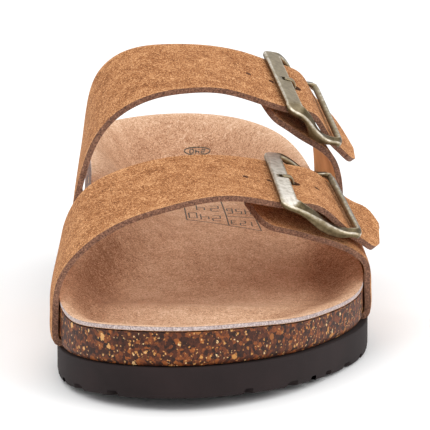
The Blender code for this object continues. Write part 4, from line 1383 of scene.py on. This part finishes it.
def build_buckle(name, seat, node_name, plate_highlight):
    """A cast frame: a flat plate, two sagging side bars, an end bar, and the thin pin between the sides."""
    rows, marks = frame_rows(seat, plate_highlight)
    bm = bmesh.new()
    lofted(bm, closed_rows(rows + rows[:1]), marks=closed_rows(marks + marks[:1]))
    tidy_mesh(bm)
    item = made_object(name, bm, [METAL], 30.0)
    reach = seat.half_width + BUCKLE_CLEAR + SIDE_BAR_WIDE / 2
    start, end = seat.at(seat.pin_s, -reach, PIN_HEIGHT), seat.at(seat.pin_s, reach, PIN_HEIGHT)
    combined(item, round_bar(world(start), world(end), PIN_RADIUS * MM), "UNION")
    combined(item, notch_cutter(seat), "DIFFERENCE")
    soft = item.modifiers.new("Cast edges", "BEVEL")
    soft.width = CAST_EDGE * MM
    soft.segments = 2
    soft.limit_method = "ANGLE"
    soft.angle_limit = math.radians(28)
    settled(item, 40.0)
    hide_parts(node_name)
    return item


def build_prong(name, seat, node_name):
    """A flattened wire that is bent round the pin and rises through its hole to the plate's notch."""
    line = prong_line(seat)
    ticks = [0.0]
    for a, b in zip(line, line[1:]):
        ticks.append(ticks[-1] + (b - a).length)
    path = smooth_curve(ticks, [tuple(p) for p in line])
    across = (seat.at(seat.pin_s, 1.0, 0.0) - seat.at(seat.pin_s, 0.0, 0.0)).normalized()
    steps, ring_points = 60, 16
    rows = []
    for k in range(steps + 1):
        t = ticks[-1] * k / steps
        p = Vector(path(t))
        travel = (Vector(path(min(t + 0.1, ticks[-1]))) - Vector(path(max(t - 0.1, 0.0)))).normalized()
        off = travel.cross(across).normalized()
        end = min(t, ticks[-1] - t)
        swell = math.sqrt(max(0.02, 1 - max(0.0, 1 - end / 0.45) ** 2))
        row = []
        for n in range(ring_points):
            angle = 2 * math.pi * n / ring_points
            c, s = math.cos(angle), math.sin(angle)
            square = (abs(c) ** 4 + abs(s) ** 4) ** -0.25
            aside = off * (c * PRONG_THICK / 2) + across * (s * PRONG_WIDE / 2)
            row.append(p + aside * square * swell)
        rows.append(row)
    bm = bmesh.new()
    marks = [[PRONG_WEAR] * (ring_points + 1) for row in rows]
    lofted(bm, closed_rows(rows), marks=marks)
    capped(bm, 40)
    bmesh.ops.recalc_face_normals(bm, faces=bm.faces[:])
    item = made_object(name, bm, [METAL], 60.0)
    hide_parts(node_name)
    return item


# Stage

CAMERA_TARGET = Vector((1.25, -2.25, 33.3)) * MM
CAMERA_YAW, CAMERA_ELEVATION = math.radians(3.0), math.radians(10.8)
CAMERA_DISTANCE = 1.25
CAMERA_LENS = 343.7


def build_stage():
    """The paper floor, the soft lamps, and the camera that takes the photograph's view."""
    bm = bmesh.new()
    bmesh.ops.create_grid(bm, x_segments=4, y_segments=4, size=6.0)
    floor = made_object("floor", bm, [matt_paper("backdrop_paper", "#FDFDFD")])
    scene = bpy.context.scene
    studio = bpy.data.worlds.new("studio")
    scene.world = studio
    studio.use_nodes = True
    background = studio.node_tree.nodes["Background"]
    fed(studio.node_tree, background, {"Color": srgb("#FFFFFF"), "Strength": 1.0})
    lamps = [
        # name, place, size, watts
        ("key softbox", (-0.75, -0.9, 1.35), 0.9, 4.8),
        ("fill softbox", (1.1, -0.8, 0.8), 0.9, 5.0),
        ("top softbox", (0.1, 0.35, 1.5), 1.2, 3.0),
    ]
    for name, place, size, watts in lamps:
        lamp = bpy.data.lights.new(name, "AREA")
        lamp.size = size
        lamp.energy = watts
        item = bpy.data.objects.new(name, lamp)
        item.location = place
        item.rotation_euler = (Vector((0, 0, 0.03)) - Vector(place)).to_track_quat("-Z", "Y").to_euler()
        scene.collection.objects.link(item)
    scene.view_settings.view_transform = "Standard"
    camera = bpy.data.cameras.new("camera")
    camera.sensor_width = 36.0
    camera.lens = CAMERA_LENS
    camera.clip_start, camera.clip_end = 0.05, 30.0
    flat = math.cos(CAMERA_ELEVATION)
    back = Vector((-math.sin(CAMERA_YAW) * flat, -math.cos(CAMERA_YAW) * flat, math.sin(CAMERA_ELEVATION)))
    right = Vector((math.cos(CAMERA_YAW), -math.sin(CAMERA_YAW), 0.0))
    up = back.cross(right)
    item = bpy.data.objects.new("camera", camera)
    turn = Matrix((right, up, back)).transposed().to_4x4()
    item.matrix_world = Matrix.Translation(CAMERA_TARGET + back * CAMERA_DISTANCE) @ turn
    scene.collection.objects.link(item)
    scene.camera = item


straps = {
    "front_long": Strap(-1, FRONT_LONG),
    "rear_long": Strap(-1, REAR_LONG),
    "front_short": Strap(1, FRONT_SHORT),
    "rear_short": Strap(1, REAR_SHORT),
}
pieces = [build_footbed(), build_cork(), build_outsole()]
pieces.append(build_upper("long_straps", straps["front_long"], straps["rear_long"], "upper_medial",
                          punched(straps["front_long"]) + punched(straps["rear_long"])))
pieces.append(build_upper("short_straps", straps["front_short"], straps["rear_short"], "upper_lateral", []))
# Each buckle's number is the painted highlight on its plate, stronger on the front buckle
for place, plate_highlight in (("front", 0.95), ("rear", 0.4)):
    seat = Seat(straps[place + "_long"])
    pieces.append(build_buckle("buckle_frame_" + place, seat, "buckle_" + place, plate_highlight))
    pieces.append(build_prong("buckle_prong_" + place, seat, "prong_" + place))
for piece in pieces:
    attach(piece, "root")
build_stage()
bpy.context.view_layer.update()
